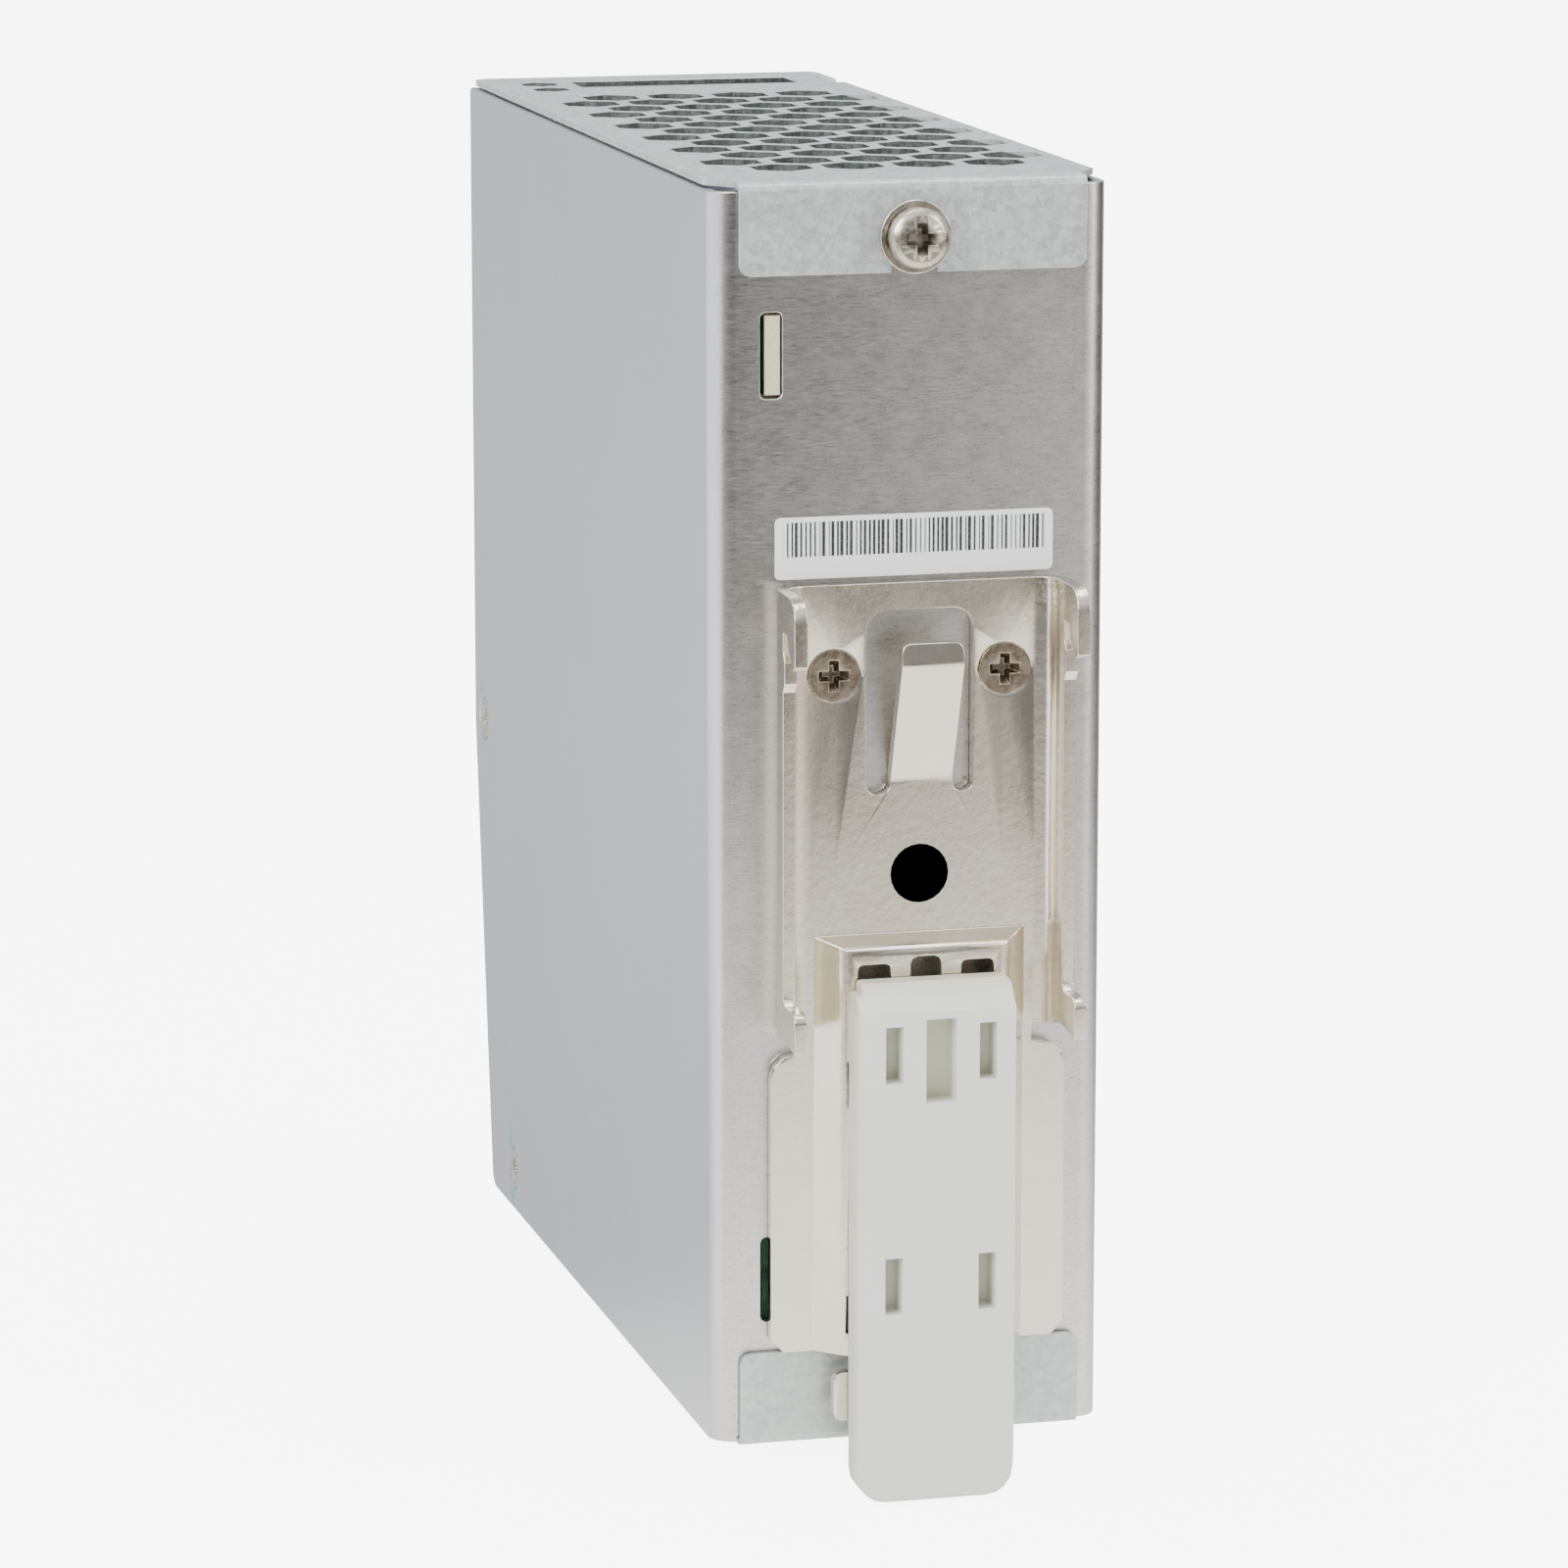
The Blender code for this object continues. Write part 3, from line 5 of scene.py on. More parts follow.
import bmesh
import bpy
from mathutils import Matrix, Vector


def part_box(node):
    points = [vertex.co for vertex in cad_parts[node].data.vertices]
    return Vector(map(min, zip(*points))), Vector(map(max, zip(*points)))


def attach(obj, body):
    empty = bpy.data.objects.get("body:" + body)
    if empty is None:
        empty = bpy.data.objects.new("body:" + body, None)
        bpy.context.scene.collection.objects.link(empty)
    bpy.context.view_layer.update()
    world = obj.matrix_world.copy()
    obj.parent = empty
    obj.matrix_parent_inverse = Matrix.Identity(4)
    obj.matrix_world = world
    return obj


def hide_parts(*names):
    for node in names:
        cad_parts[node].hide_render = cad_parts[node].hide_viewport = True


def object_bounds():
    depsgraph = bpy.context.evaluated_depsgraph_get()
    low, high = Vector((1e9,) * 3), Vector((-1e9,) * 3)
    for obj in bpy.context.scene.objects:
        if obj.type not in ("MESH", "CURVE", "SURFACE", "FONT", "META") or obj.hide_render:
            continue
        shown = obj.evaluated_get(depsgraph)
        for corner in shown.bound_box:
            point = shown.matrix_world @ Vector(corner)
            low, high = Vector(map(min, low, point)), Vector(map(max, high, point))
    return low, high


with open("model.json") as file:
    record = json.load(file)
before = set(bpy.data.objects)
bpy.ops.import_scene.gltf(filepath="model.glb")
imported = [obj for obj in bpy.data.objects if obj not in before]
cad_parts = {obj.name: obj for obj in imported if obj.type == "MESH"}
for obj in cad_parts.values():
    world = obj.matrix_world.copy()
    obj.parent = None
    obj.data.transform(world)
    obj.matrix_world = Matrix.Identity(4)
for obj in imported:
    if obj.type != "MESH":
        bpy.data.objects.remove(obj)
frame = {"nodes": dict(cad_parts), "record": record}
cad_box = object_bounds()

MM = 0.001
nodes = frame["nodes"]
body_of_node = {node: body for body, held in frame["record"]["behaviour"]["bodies"].items() for node in held}
slot_of_node = {part["node"]: part["material_slot"] for part in frame["record"]["subparts"]}


# ------------------------------------------------------------------------------------------ chassis
# Two side walls and the rear wall, folded from one strip of satin aluminium.  The rolling grain runs
# round the case, and the punched edges are slightly rolled over.

class Wiring:
    """Adds nodes to one shader tree.  A socket given for an input is linked, anything else is its value."""

    def __init__(self, tree):
        self.tree = tree

    def node(self, kind, sockets=None, **settings):
        made = self.tree.nodes.new("ShaderNode" + kind)
        for name, value in settings.items():
            setattr(made, name, value)
        for name, value in (sockets or {}).items():
            if isinstance(value, bpy.types.NodeSocket):
                self.tree.links.new(value, made.inputs[name])
            else:
                made.inputs[name].default_value = value
        return made

    def sum(self, operation, a, b=0.0, clamp=False):
        return self.node("Math", {0: a, 1: b}, operation=operation, use_clamp=clamp).outputs[0]

    def mix(self, amount, a, b, blend="MIX"):
        mixed = self.node("Mix", {0: amount, 6: a, 7: b}, data_type="RGBA", blend_type=blend)
        return mixed.outputs[2]

    def span(self, value, low, high, to_low=0.0, to_high=1.0):
        held = self.node("MapRange", {0: value, 1: low, 2: high, 3: to_low, 4: to_high}, clamp=True)
        return held.outputs[0]

    def place(self):
        """Object coordinates, in millimetres."""
        where = self.node("TexCoord").outputs["Object"]
        return self.node("VectorMath", {0: where, 1: (1 / MM,) * 3}, operation="MULTIPLY").outputs[0]


def effect(name, inputs, outputs):
    """Empty shader node group with float inputs; returns the group, its wiring, and its two ends."""
    group = bpy.data.node_groups.new(name, "ShaderNodeTree")
    for label, value in inputs.items():
        socket = group.interface.new_socket(label, in_out="INPUT", socket_type="NodeSocketFloat")
        socket.default_value = value
    for label in outputs:
        group.interface.new_socket(label, in_out="OUTPUT", socket_type="NodeSocketFloat")
    wiring = Wiring(group)
    given = group.nodes.new("NodeGroupInput")
    taken = group.nodes.new("NodeGroupOutput")
    return group, wiring, given.outputs, taken.inputs


def make_rolling_grain():
    """Fine streaks: how many per millimetre along each axis."""
    inputs = {"Per mm X": 1, "Per mm Y": 1, "Per mm Z": 1, "Seed": 0}
    group, w, given, taken = effect("rolling_grain", inputs, ("Value",))
    scale = w.node("CombineXYZ", {0: given[0], 1: given[1], 2: given[2]}).outputs[0]
    where = w.node("VectorMath", {0: w.place(), 1: scale}, operation="MULTIPLY").outputs[0]
    streaks = w.node("TexNoise", {"Vector": where, "W": given[3], "Scale": 1.0, "Detail": 4.0,
                                  "Roughness": 0.62}, noise_dimensions="4D")
    w.tree.links.new(w.span(streaks.outputs[0], 0.28, 0.72), taken[0])
    return group


def make_clouding():
    """Soft blotches of the given size in millimetres."""
    group, w, given, taken = effect("clouding", {"Size": 10, "Contrast": 1, "Seed": 0}, ("Value",))
    scale = w.sum("DIVIDE", 1.0, given[0])
    blotch = w.node("TexNoise", {"Vector": w.place(), "W": given[2], "Scale": scale, "Detail": 5.0,
                                 "Roughness": 0.55}, noise_dimensions="4D")
    centred = w.sum("MULTIPLY", w.sum("SUBTRACT", blotch.outputs[0], 0.5), given[1])
    w.tree.links.new(w.sum("ADD", w.sum("MULTIPLY", centred, 2.2), 0.5, clamp=True), taken[0])
    return group


def make_edge_wear():
    """Mask of rubbed edges: the rounded edge faces of a piece, broken up into patches."""
    group, w, given, taken = effect("edge_wear", {"Amount": 1, "Patch": 4}, ("Mask",))
    edge = w.node("Attribute", attribute_name="edge").outputs["Fac"]
    scale = w.sum("DIVIDE", 1.0, given[1])
    broken = w.node("TexNoise", {"Vector": w.place(), "Scale": scale, "Detail": 6.0, "Roughness": 0.7})
    rubbed = w.span(broken.outputs[0], 0.38, 0.6)
    w.tree.links.new(w.sum("MULTIPLY", w.sum("MULTIPLY", edge, rubbed), given[0], clamp=True), taken[0])
    return group


def make_scuffs():
    """Mask of hairline scratches and specks picked up in handling."""
    group, w, given, taken = effect("scuffs", {"Amount": 1, "Seed": 0}, ("Scratches", "Specks"))
    where = w.place()
    lines = []
    for turn, stretch in ((0.5, (0.9, 0.05, 0.9)), (1.3, (0.05, 0.9, 0.6)), (2.4, (0.7, 0.7, 0.05))):
        turned = w.node("VectorRotate", {"Vector": where, "Angle": turn, "Axis": (0.3, 0.4, 0.85)})
        long = w.node("VectorMath", {0: turned.outputs[0], 1: stretch}, operation="MULTIPLY").outputs[0]
        thin = w.node("TexNoise", {"Vector": long, "W": given[1], "Scale": 1.6, "Detail": 2.0},
                      noise_dimensions="4D").outputs[0]
        lines.append(w.span(w.sum("ABSOLUTE", w.sum("SUBTRACT", thin, 0.5)), 0.0, 0.0035, 1.0, 0.0))
    together = w.sum("MAXIMUM", w.sum("MAXIMUM", lines[0], lines[1]), lines[2])
    sparse = w.node("TexNoise", {"Vector": where, "Scale": 0.11, "Detail": 2.0}).outputs[0]
    seen = w.sum("MULTIPLY", together, w.span(sparse, 0.52, 0.66))
    w.tree.links.new(w.sum("MULTIPLY", seen, given[0], clamp=True), taken[0])
    dots = w.node("TexVoronoi", {"Vector": where, "Scale": 0.9, "Randomness": 1.0}).outputs["Distance"]
    near = w.sum("MULTIPLY", w.span(dots, 0.05, 0.12, 1.0, 0.0), w.span(sparse, 0.45, 0.62))
    w.tree.links.new(w.sum("MULTIPLY", near, given[0], clamp=True), taken[1])
    return group


ROLLING_GRAIN = make_rolling_grain()
CLOUDING = make_clouding()
EDGE_WEAR = make_edge_wear()
SCUFFS = make_scuffs()


def finish_tree(name):
    """New material: its wiring, its Principled shader, and a way to place an effect in it."""
    made = bpy.data.materials.new(name)
    made.use_nodes = True
    w = Wiring(made.node_tree)
    shader = made.node_tree.nodes["Principled BSDF"]

    def placed(group, **values):
        node = made.node_tree.nodes.new("ShaderNodeGroup")
        node.node_tree = group
        for label, value in values.items():
            node.inputs[label.replace("_", " ")].default_value = value
        return node.outputs

    return made, w, shader, placed


def feed(w, shader, **sources):
    """Link sockets to the shader's inputs, or set them."""
    for label, source in sources.items():
        socket = shader.inputs[label.replace("_", " ")]
        if isinstance(source, bpy.types.NodeSocket):
            w.tree.links.new(source, socket)
        else:
            socket.default_value = source


def relief(w, height, depth_mm, strength=1.0):
    return w.node("Bump", {"Height": height, "Distance": depth_mm * MM, "Strength": strength}).outputs[0]


# The rear wall is painted darker towards its left and its top, a painted shade: where that begins and where
# it is full, in mm.
SHADE_ACROSS = (-15.0, 16.0)
SHADE_UP = (-10.0, 30.0)


def satin_aluminium():
    made, w, shader, placed = finish_tree("satin_aluminium")
    grain = placed(ROLLING_GRAIN, Per_mm_X=0.7, Per_mm_Y=0.7, Per_mm_Z=6.0)[0]
    pores = placed(ROLLING_GRAIN, Per_mm_X=3.2, Per_mm_Y=3.2, Per_mm_Z=5.0, Seed=4)[0]
    cloud = placed(CLOUDING, Size=16, Contrast=0.8)[0]
    small_cloud = placed(CLOUDING, Size=2.6, Contrast=1.0, Seed=3)[0]
    worn = placed(EDGE_WEAR, Amount=0.9, Patch=3)[0]
    scuffs = placed(SCUFFS, Amount=0.8)
    facing = w.node("SeparateXYZ", {0: w.node("NewGeometry").outputs["Normal"]}).outputs
    rear = w.span(facing["Y"], 0.55, 0.95)
    # Painted reflection: the side walls and the rear wall are one sheet, given a cooler and a warmer tone
    # for what each of them mirrors.
    side_reflected_tone = w.mix(cloud, (0.62, 0.64, 0.665, 1), (0.67, 0.685, 0.70, 1))
    rear_reflected_tone = w.mix(small_cloud, (0.60, 0.585, 0.57, 1), (0.70, 0.69, 0.675, 1))
    across = w.node("SeparateXYZ", {0: w.place()}).outputs
    # Painted shade: the rear wall is darkened towards its upper left.
    shade = w.sum("MULTIPLY", w.span(across["X"], *SHADE_ACROSS, 0.0, 0.62), w.span(across["Z"], *SHADE_UP))
    rear_reflected_tone = w.mix(shade, rear_reflected_tone, (0.20, 0.19, 0.175, 1))
    colour = w.mix(rear, side_reflected_tone, rear_reflected_tone)
    linen = w.span(rear, 0, 1, 0.35, 1.0)
    colour = w.mix(w.sum("MULTIPLY", w.sum("MULTIPLY", grain, linen), 0.42), colour, (0.92, 0.92, 0.91, 1))
    pitted = w.sum("MULTIPLY", w.span(pores, 0.55, 0.9), w.sum("MULTIPLY", linen, 0.42))
    colour = w.mix(pitted, colour, (0.26, 0.25, 0.235, 1))
    colour = w.mix(worn, colour, (0.86, 0.86, 0.85, 1))
    colour = w.mix(w.sum("MULTIPLY", scuffs[0], 0.5), colour, (0.85, 0.85, 0.84, 1))
    mark = thread_lock_marks(w)
    colour = w.mix(mark, colour, (0.13, 0.42, 0.42, 1))
    rough = w.sum("ADD", w.span(grain, 0, 1, 0.24, 0.34), w.sum("MULTIPLY", small_cloud, 0.05))
    rough = w.sum("ADD", rough, w.sum("MULTIPLY", mark, 0.25))
    height = w.sum("ADD", grain, w.sum("MULTIPLY", pores, 0.6))
    feed(w, shader, Base_Color=colour, Metallic=w.span(mark, 0, 1, 1.0, 0.2), Roughness=rough,
         Normal=relief(w, height, 0.006, 0.75))
    return made


# Each dab of lacquer on the left wall: its depth in the case, its height and its size, in mm.
PAINT_SPOTS = ((-95.9, 7.6, 1.5), (-93.9, 7.0, 0.9), (-94.9, 0.9, 1.3), (-96.4, 1.5, 0.8),
               (-110.3, 56.3, 0.7))
LEFT_WALL_X = (19.2, 19.5)


def thread_lock_marks(w):
    """Mask of the dabs of teal sealing lacquer beside the side screws."""
    where = w.node("SeparateXYZ", {0: w.place()}).outputs
    noise = w.node("TexNoise", {"Vector": w.place(), "Scale": 1.1, "Detail": 4.0, "Roughness": 0.7})
    smear = noise.outputs[0]
    total = None
    for y, z, size in PAINT_SPOTS:
        across = w.sum("SUBTRACT", where["Y"], y - SEAT_Y)
        upward = w.sum("MULTIPLY", w.sum("SUBTRACT", where["Z"], z - RAIL_Z), 0.6)
        offset = w.node("CombineXYZ", {0: across, 1: upward}).outputs[0]
        reach = w.node("VectorMath", {0: offset}, operation="LENGTH")
        ragged = w.sum("ADD", reach.outputs["Value"], w.sum("MULTIPLY", w.sum("SUBTRACT", smear, 0.5), 2.4))
        dab = w.span(ragged, size * 0.45, size * 0.7, 1.0, 0.0)
        total = dab if total is None else w.sum("MAXIMUM", total, dab)
    on_left = w.span(where["X"], *LEFT_WALL_X)
    patchy = w.span(smear, 0.40, 0.5, 0.35, 0.9)
    return w.sum("MULTIPLY", w.sum("MULTIPLY", total, on_left), patchy, clamp=True)


# The case's own axes start at the outer face of the rear wall and at the case's bottom.
SEAT_Y = 5.4
RAIL_Z = 64.7

SAME_POINT = 0.001 * MM
ON_PLANE = 0.0001 * MM
SAME_FACE_ANGLE = math.radians(0.3)
HARD_EDGE_ANGLE = math.radians(50)


def worked_copy(node, name, rounding, steps=2, sharp=28.0, spare=None, splits=()):
    """Copy of a node's solid with its facets joined into whole faces and its edges rounded.

    Faces made by the rounding are marked in the face attribute "edge".  An edge that spare(edge)
    is true for keeps its sharp corner.  Each split is a point and a direction: the plane there
    divides the joined faces before the rounding.
    """
    shape = bmesh.new()
    shape.from_mesh(nodes[node].data)
    bmesh.ops.remove_doubles(shape, verts=shape.verts, dist=SAME_POINT)
    bmesh.ops.dissolve_limit(shape, angle_limit=SAME_FACE_ANGLE, verts=shape.verts, edges=shape.edges)
    for centre, across in splits:
        bmesh.ops.bisect_plane(shape, geom=[*shape.verts, *shape.edges, *shape.faces], dist=ON_PLANE,
                               plane_co=centre, plane_no=across)
    mark = shape.faces.layers.float.new("edge")
    if rounding:
        corners = [edge for edge in shape.edges if edge.is_manifold
                   and edge.calc_face_angle(0) > math.radians(sharp) and not (spare and spare(edge))]
        made = bmesh.ops.bevel(shape, geom=corners, offset=rounding * MM, segments=steps, profile=0.5,
                               affect="EDGES", clamp_overlap=True)
        for face in made["faces"]:
            face[mark] = 1.0
    bmesh.ops.triangulate(shape, faces=shape.faces, ngon_method="EAR_CLIP")
    mesh = bpy.data.meshes.new(name)
    shape.to_mesh(mesh)
    shape.free()
    for stale in ("custom_normal", "sharp_edge", "sharp_face"):
        if stale in mesh.attributes:
            mesh.attributes.remove(mesh.attributes[stale])
    mesh.materials.clear()
    mesh.shade_smooth()
    mesh.set_sharp_from_angle(angle=HARD_EDGE_ANGLE)
    piece = bpy.data.objects.new(name, mesh)
    bpy.context.scene.collection.objects.link(piece)
    even = piece.modifiers.new("even_shading", "WEIGHTED_NORMAL")
    even.keep_sharp = True
    even.weight = 100
    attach(piece, body_of_node[node])
    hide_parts(node)
    return piece


def dress(piece, finish):
    piece.data.materials.clear()
    piece.data.materials.append(finish)
    return piece


dress(worked_copy("chassis", "folded_chassis", 0.14), satin_aluminium())


# ------------------------------------------------------------------------------------------ main board
# Green lacquered board that stands on edge beside the left wall.  A tab on it fills the upper slot in the
# rear wall, and where that tab was snapped from its panel the pale glass laminate shows.

UPPER_TAB_Z = (10.0, 11.0)


def board_laminate():
    made, w, shader, placed = finish_tree("board_laminate_finish")
    facing = w.node("SeparateXYZ", {0: w.node("NewGeometry").outputs["Normal"]}).outputs
    high_up = w.span(w.node("SeparateXYZ", {0: w.place()}).outputs["Z"], *UPPER_TAB_Z)
    sawn = w.sum("MULTIPLY", w.span(w.sum("ABSOLUTE", facing["X"]), 0.5, 0.6, 1.0, 0.0), high_up)
    tracks = w.node("TexVoronoi", {"Vector": w.place(), "Scale": 0.35}, feature="F1", distance="CHEBYCHEV")
    lanes = w.span(tracks.outputs["Distance"], 0.28, 0.30)
    cloud = placed(CLOUDING, Size=5, Contrast=0.8)[0]
    fibres = placed(ROLLING_GRAIN, Per_mm_X=8, Per_mm_Y=1.5, Per_mm_Z=1.5)[0]
    green = w.mix(lanes, (0.030, 0.125, 0.055, 1), (0.055, 0.20, 0.085, 1))
    green = w.mix(w.sum("MULTIPLY", cloud, 0.3), green, (0.02, 0.08, 0.04, 1))
    cream = w.mix(fibres, (0.56, 0.50, 0.32, 1), (0.74, 0.69, 0.49, 1))
    feed(w, shader, Base_Color=w.mix(sawn, green, cream), Roughness=w.span(sawn, 0, 1, 0.32, 0.75),
         Normal=relief(w, w.sum("ADD", lanes, fibres), 0.03, 0.6))
    return made


def keep(node, finish):
    """The node's own solid, with a worked finish in place of its plain one."""
    for slot in nodes[node].material_slots:
        slot.material = finish


BOARD = board_laminate()
for board in ("main_board", "dc_terminal_board", "ac_terminal_board"):
    keep(board, BOARD)


# ------------------------------------------------------------------------------------------ inner parts
# What such a supply has on its board: mains filter, rectifier, bulk capacitor, transformer, heat sinks
# and output capacitors.  They show as dark shapes through the hexagonal vents.

def moulded(name, dark, light, roughness, bump_mm, size=3.0, coat=0.0):
    """Moulded or dipped plastic: slightly uneven colour, a fine skin texture and pale rubbed edges."""
    made, w, shader, placed = finish_tree(name)
    cloud = placed(CLOUDING, Size=size, Contrast=0.9)[0]
    skin = placed(ROLLING_GRAIN, Per_mm_X=5, Per_mm_Y=5, Per_mm_Z=5)[0]
    worn = placed(EDGE_WEAR, Amount=0.45, Patch=2)[0]
    dust = placed(SCUFFS, Amount=0.5)[1]
    pale = tuple(min(1.0, 0.12 + 1.15 * part) for part in light[:3]) + (1,)
    colour = w.mix(worn, w.mix(cloud, dark, light), pale)
    colour = w.mix(w.sum("MULTIPLY", dust, 0.35), colour, (0.55, 0.54, 0.50, 1))
    patchy = w.span(cloud, 0, 1, roughness - 0.05, roughness + 0.06)
    rough = w.sum("ADD", patchy, w.sum("MULTIPLY", dust, 0.2))
    feed(w, shader, Base_Color=colour, Roughness=rough, Normal=relief(w, skin, bump_mm, 0.8),
         Coat_Weight=coat)
    return made


def bare_metal(name, dark, light, roughness, per_mm, depth=0.008, wear=0.8):
    """Plated or extruded metal; per_mm is how many streaks of grain a millimetre has along X, Y and Z."""
    made, w, shader, placed = finish_tree(name)
    grain = placed(ROLLING_GRAIN, Per_mm_X=per_mm[0], Per_mm_Y=per_mm[1], Per_mm_Z=per_mm[2])[0]
    cloud = placed(CLOUDING, Size=2.2, Contrast=1.1)[0]
    worn = placed(EDGE_WEAR, Amount=wear, Patch=1.2)[0]
    pale = tuple(min(1.0, part * 1.35) for part in light[:3]) + (1,)
    colour = w.mix(worn, w.mix(w.sum("MULTIPLY", w.sum("ADD", grain, cloud), 0.5), dark, light), pale)
    rough = w.span(cloud, 0, 1, roughness - 0.06, roughness + 0.1)
    feed(w, shader, Base_Color=colour, Metallic=1.0, Roughness=rough, Normal=relief(w, grain, depth, 0.7))
    return made


def wound_wire(name):
    """Enamelled copper: each turn is a ridge, with painted shade in the gap beside it."""
    made, w, shader, placed = finish_tree(name)
    cloud = placed(CLOUDING, Size=3, Contrast=1.0)[0]
    strands = w.node("TexWave", {"Vector": w.place(), "Scale": 0.5, "Distortion": 0.6, "Detail": 2.0},
                     wave_type="BANDS", bands_direction="Y").outputs["Fac"]
    crest = w.mix(cloud, (0.50, 0.20, 0.07, 1), (0.66, 0.30, 0.12, 1))
    # Painted shade: the gap beside each turn is darkened.
    colour = w.mix(strands, (0.16, 0.05, 0.015, 1), crest)
    feed(w, shader, Base_Color=colour, Metallic=0.55, Roughness=w.span(strands, 0, 1, 0.5, 0.28),
         Normal=relief(w, strands, 0.15, 0.8))
    return made


def wrapped_tape(name):
    """Yellow polyester tape with its overlapped edges."""
    made, w, shader, placed = finish_tree(name)
    cloud = placed(CLOUDING, Size=5, Contrast=0.8)[0]
    laps = w.node("TexWave", {"Vector": w.place(), "Scale": 0.10, "Distortion": 0.4, "Detail": 1.0},
                  bands_direction="X", wave_profile="SAW").outputs["Fac"]
    colour = w.mix(w.span(laps, 0.9, 1.0), w.mix(cloud, (0.60, 0.40, 0.04, 1), (0.78, 0.56, 0.09, 1)),
                   (0.38, 0.25, 0.03, 1))
    feed(w, shader, Base_Color=colour, Roughness=w.span(cloud, 0, 1, 0.32, 0.5),
         Normal=relief(w, laps, 0.06, 0.6))
    return made


BLACK_MOULDING = moulded("black_moulding", (0.012, 0.012, 0.013, 1), (0.030, 0.030, 0.032, 1), 0.48, 0.02)
SLEEVE = moulded("capacitor_sleeve_finish", (0.015, 0.017, 0.035, 1), (0.035, 0.038, 0.06, 1), 0.32, 0.006,
                 coat=0.2)
inner_finishes = {
    "insulating_film": moulded("insulating_film_finish", (0.50, 0.47, 0.36, 1), (0.62, 0.60, 0.50, 1),
                               0.35, 0.004),
    "black_plastic": BLACK_MOULDING,
    "capacitor_sleeve": SLEEVE,
    "ferrite": moulded("sintered_ferrite", (0.028, 0.028, 0.032, 1), (0.065, 0.062, 0.065, 1),
                       0.68, 0.03, 1.5),
    "film_capacitor_box": moulded("capacitor_box", (0.56, 0.38, 0.06, 1), (0.72, 0.52, 0.11, 1), 0.42, 0.01),
    "ceramic_disc": moulded("dipped_ceramic", (0.03, 0.13, 0.36, 1), (0.06, 0.22, 0.52, 1), 0.38, 0.02,
                            coat=0.3),
    "white_plastic": moulded("white_moulding", (0.62, 0.61, 0.57, 1), (0.76, 0.75, 0.72, 1), 0.42, 0.008),
    "blue_plastic": moulded("blue_moulding", (0.018, 0.08, 0.30, 1), (0.035, 0.14, 0.44, 1), 0.40, 0.01),
    "fuse_body": moulded("fuse_tube", (0.55, 0.52, 0.44, 1), (0.70, 0.68, 0.60, 1), 0.28, 0.01, coat=0.3),
    "heatsink_aluminium": bare_metal("extruded_aluminium", (0.46, 0.46, 0.46, 1), (0.64, 0.64, 0.63, 1),
                                     0.36, (4, 4, 0.3)),
    "tinned_cage": bare_metal("tinned_clamp", (0.42, 0.42, 0.40, 1), (0.62, 0.62, 0.59, 1), 0.32,
                              (3, 0.4, 3)),
    "spring_steel": bare_metal("spring_wire", (0.22, 0.22, 0.23, 1), (0.40, 0.40, 0.40, 1), 0.28, (2, 2, 2)),
    "enamelled_copper": wound_wire("enamelled_wire"),
    "winding_tape": wrapped_tape("winding_tape_finish"),
}
for node, slot_name in slot_of_node.items():
    if slot_name in inner_finishes:
        keep(node, inner_finishes[slot_name])


# ------------------------------------------------------------------------------------------ terminals
# Two black screw-terminal blocks in the front.  Each pole has a plated screw in a round well, which draws
# a tinned cage up against the wire.

def plated_screw_finish(name, dark, light):
    """Nickel-plated steel: cloudy plating, painted shade in the recess and bright rubbed edges."""
    made, w, shader, placed = finish_tree(name)
    cloud = placed(CLOUDING, Size=1.1, Contrast=1.2)[0]
    worn = placed(EDGE_WEAR, Amount=0.85, Patch=0.8)[0]
    grain = placed(ROLLING_GRAIN, Per_mm_X=3.5, Per_mm_Y=3.5, Per_mm_Z=3.5)[0]
    sunk = w.node("Attribute", attribute_name="sunk").outputs["Fac"]
    colour = w.mix(cloud, dark, light)
    # Painted shade: faces in the drive recess are darkened, patchily.
    colour = w.mix(w.sum("MULTIPLY", sunk, w.span(cloud, 0, 1, 0.75, 0.35)), colour, (0.06, 0.045, 0.03, 1))
    colour = w.mix(worn, colour, tuple(min(1.0, part * 1.5) for part in light[:3]) + (1,))
    rough = w.sum("ADD", w.span(cloud, 0, 1, 0.20, 0.34), w.sum("MULTIPLY", sunk, 0.15))
    feed(w, shader, Base_Color=colour, Metallic=1.0, Roughness=rough, Normal=relief(w, grain, 0.012, 0.7))
    return made


HEAD_SKIN = 0.25 * MM
RECESS_DEPTH = 1.6 * MM


def mark_recess(piece, centre, axis, reach):
    """Face attribute "sunk": 1 on faces inside the drive recess, within reach mm of the screw's axis."""
    mesh = piece.data
    mark = mesh.attributes.new("sunk", "FLOAT", "FACE")
    centre, axis = Vector(centre), Vector(axis)
    top = max((vertex.co - centre).dot(axis) for vertex in mesh.vertices)
    for face in mesh.polygons:
        offset = face.center - centre
        height = offset.dot(axis)
        off_axis = (offset - axis * height).length
        deep = height < top - HEAD_SKIN or abs(face.normal.dot(axis)) < 0.75
        if off_axis < reach * MM and deep and height > top - RECESS_DEPTH:
            mark.data[face.index].value = 1.0


def middle_of(node):
    low, high = (Vector(corner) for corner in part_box(node))
    return (low + high) / 2


TERMINAL_PLATING = plated_screw_finish("terminal_plating", (0.50, 0.49, 0.46, 1), (0.68, 0.67, 0.63, 1))
for block, poles in (("dc", 4), ("ac", 3)):
    housing = worked_copy(f"{block}_terminal_housing", f"{block}_block_moulding", 0.12)
    dress(housing, BLACK_MOULDING)
    for pole in range(1, poles + 1):
        node = f"{block}_terminal_screw_{pole}"
        screw = worked_copy(node, f"{block}_clamp_screw_{pole}", 0.06)
        mark_recess(screw, middle_of(node), (0, -1, 0), 1.5)
        dress(screw, TERMINAL_PLATING)


# ------------------------------------------------------------------------------------------ adjuster, lamp
# A blue trimmer with a white rotor sets the output voltage, and a green lamp shows that it is on.  Both
# stand just behind round openings in the front panel.

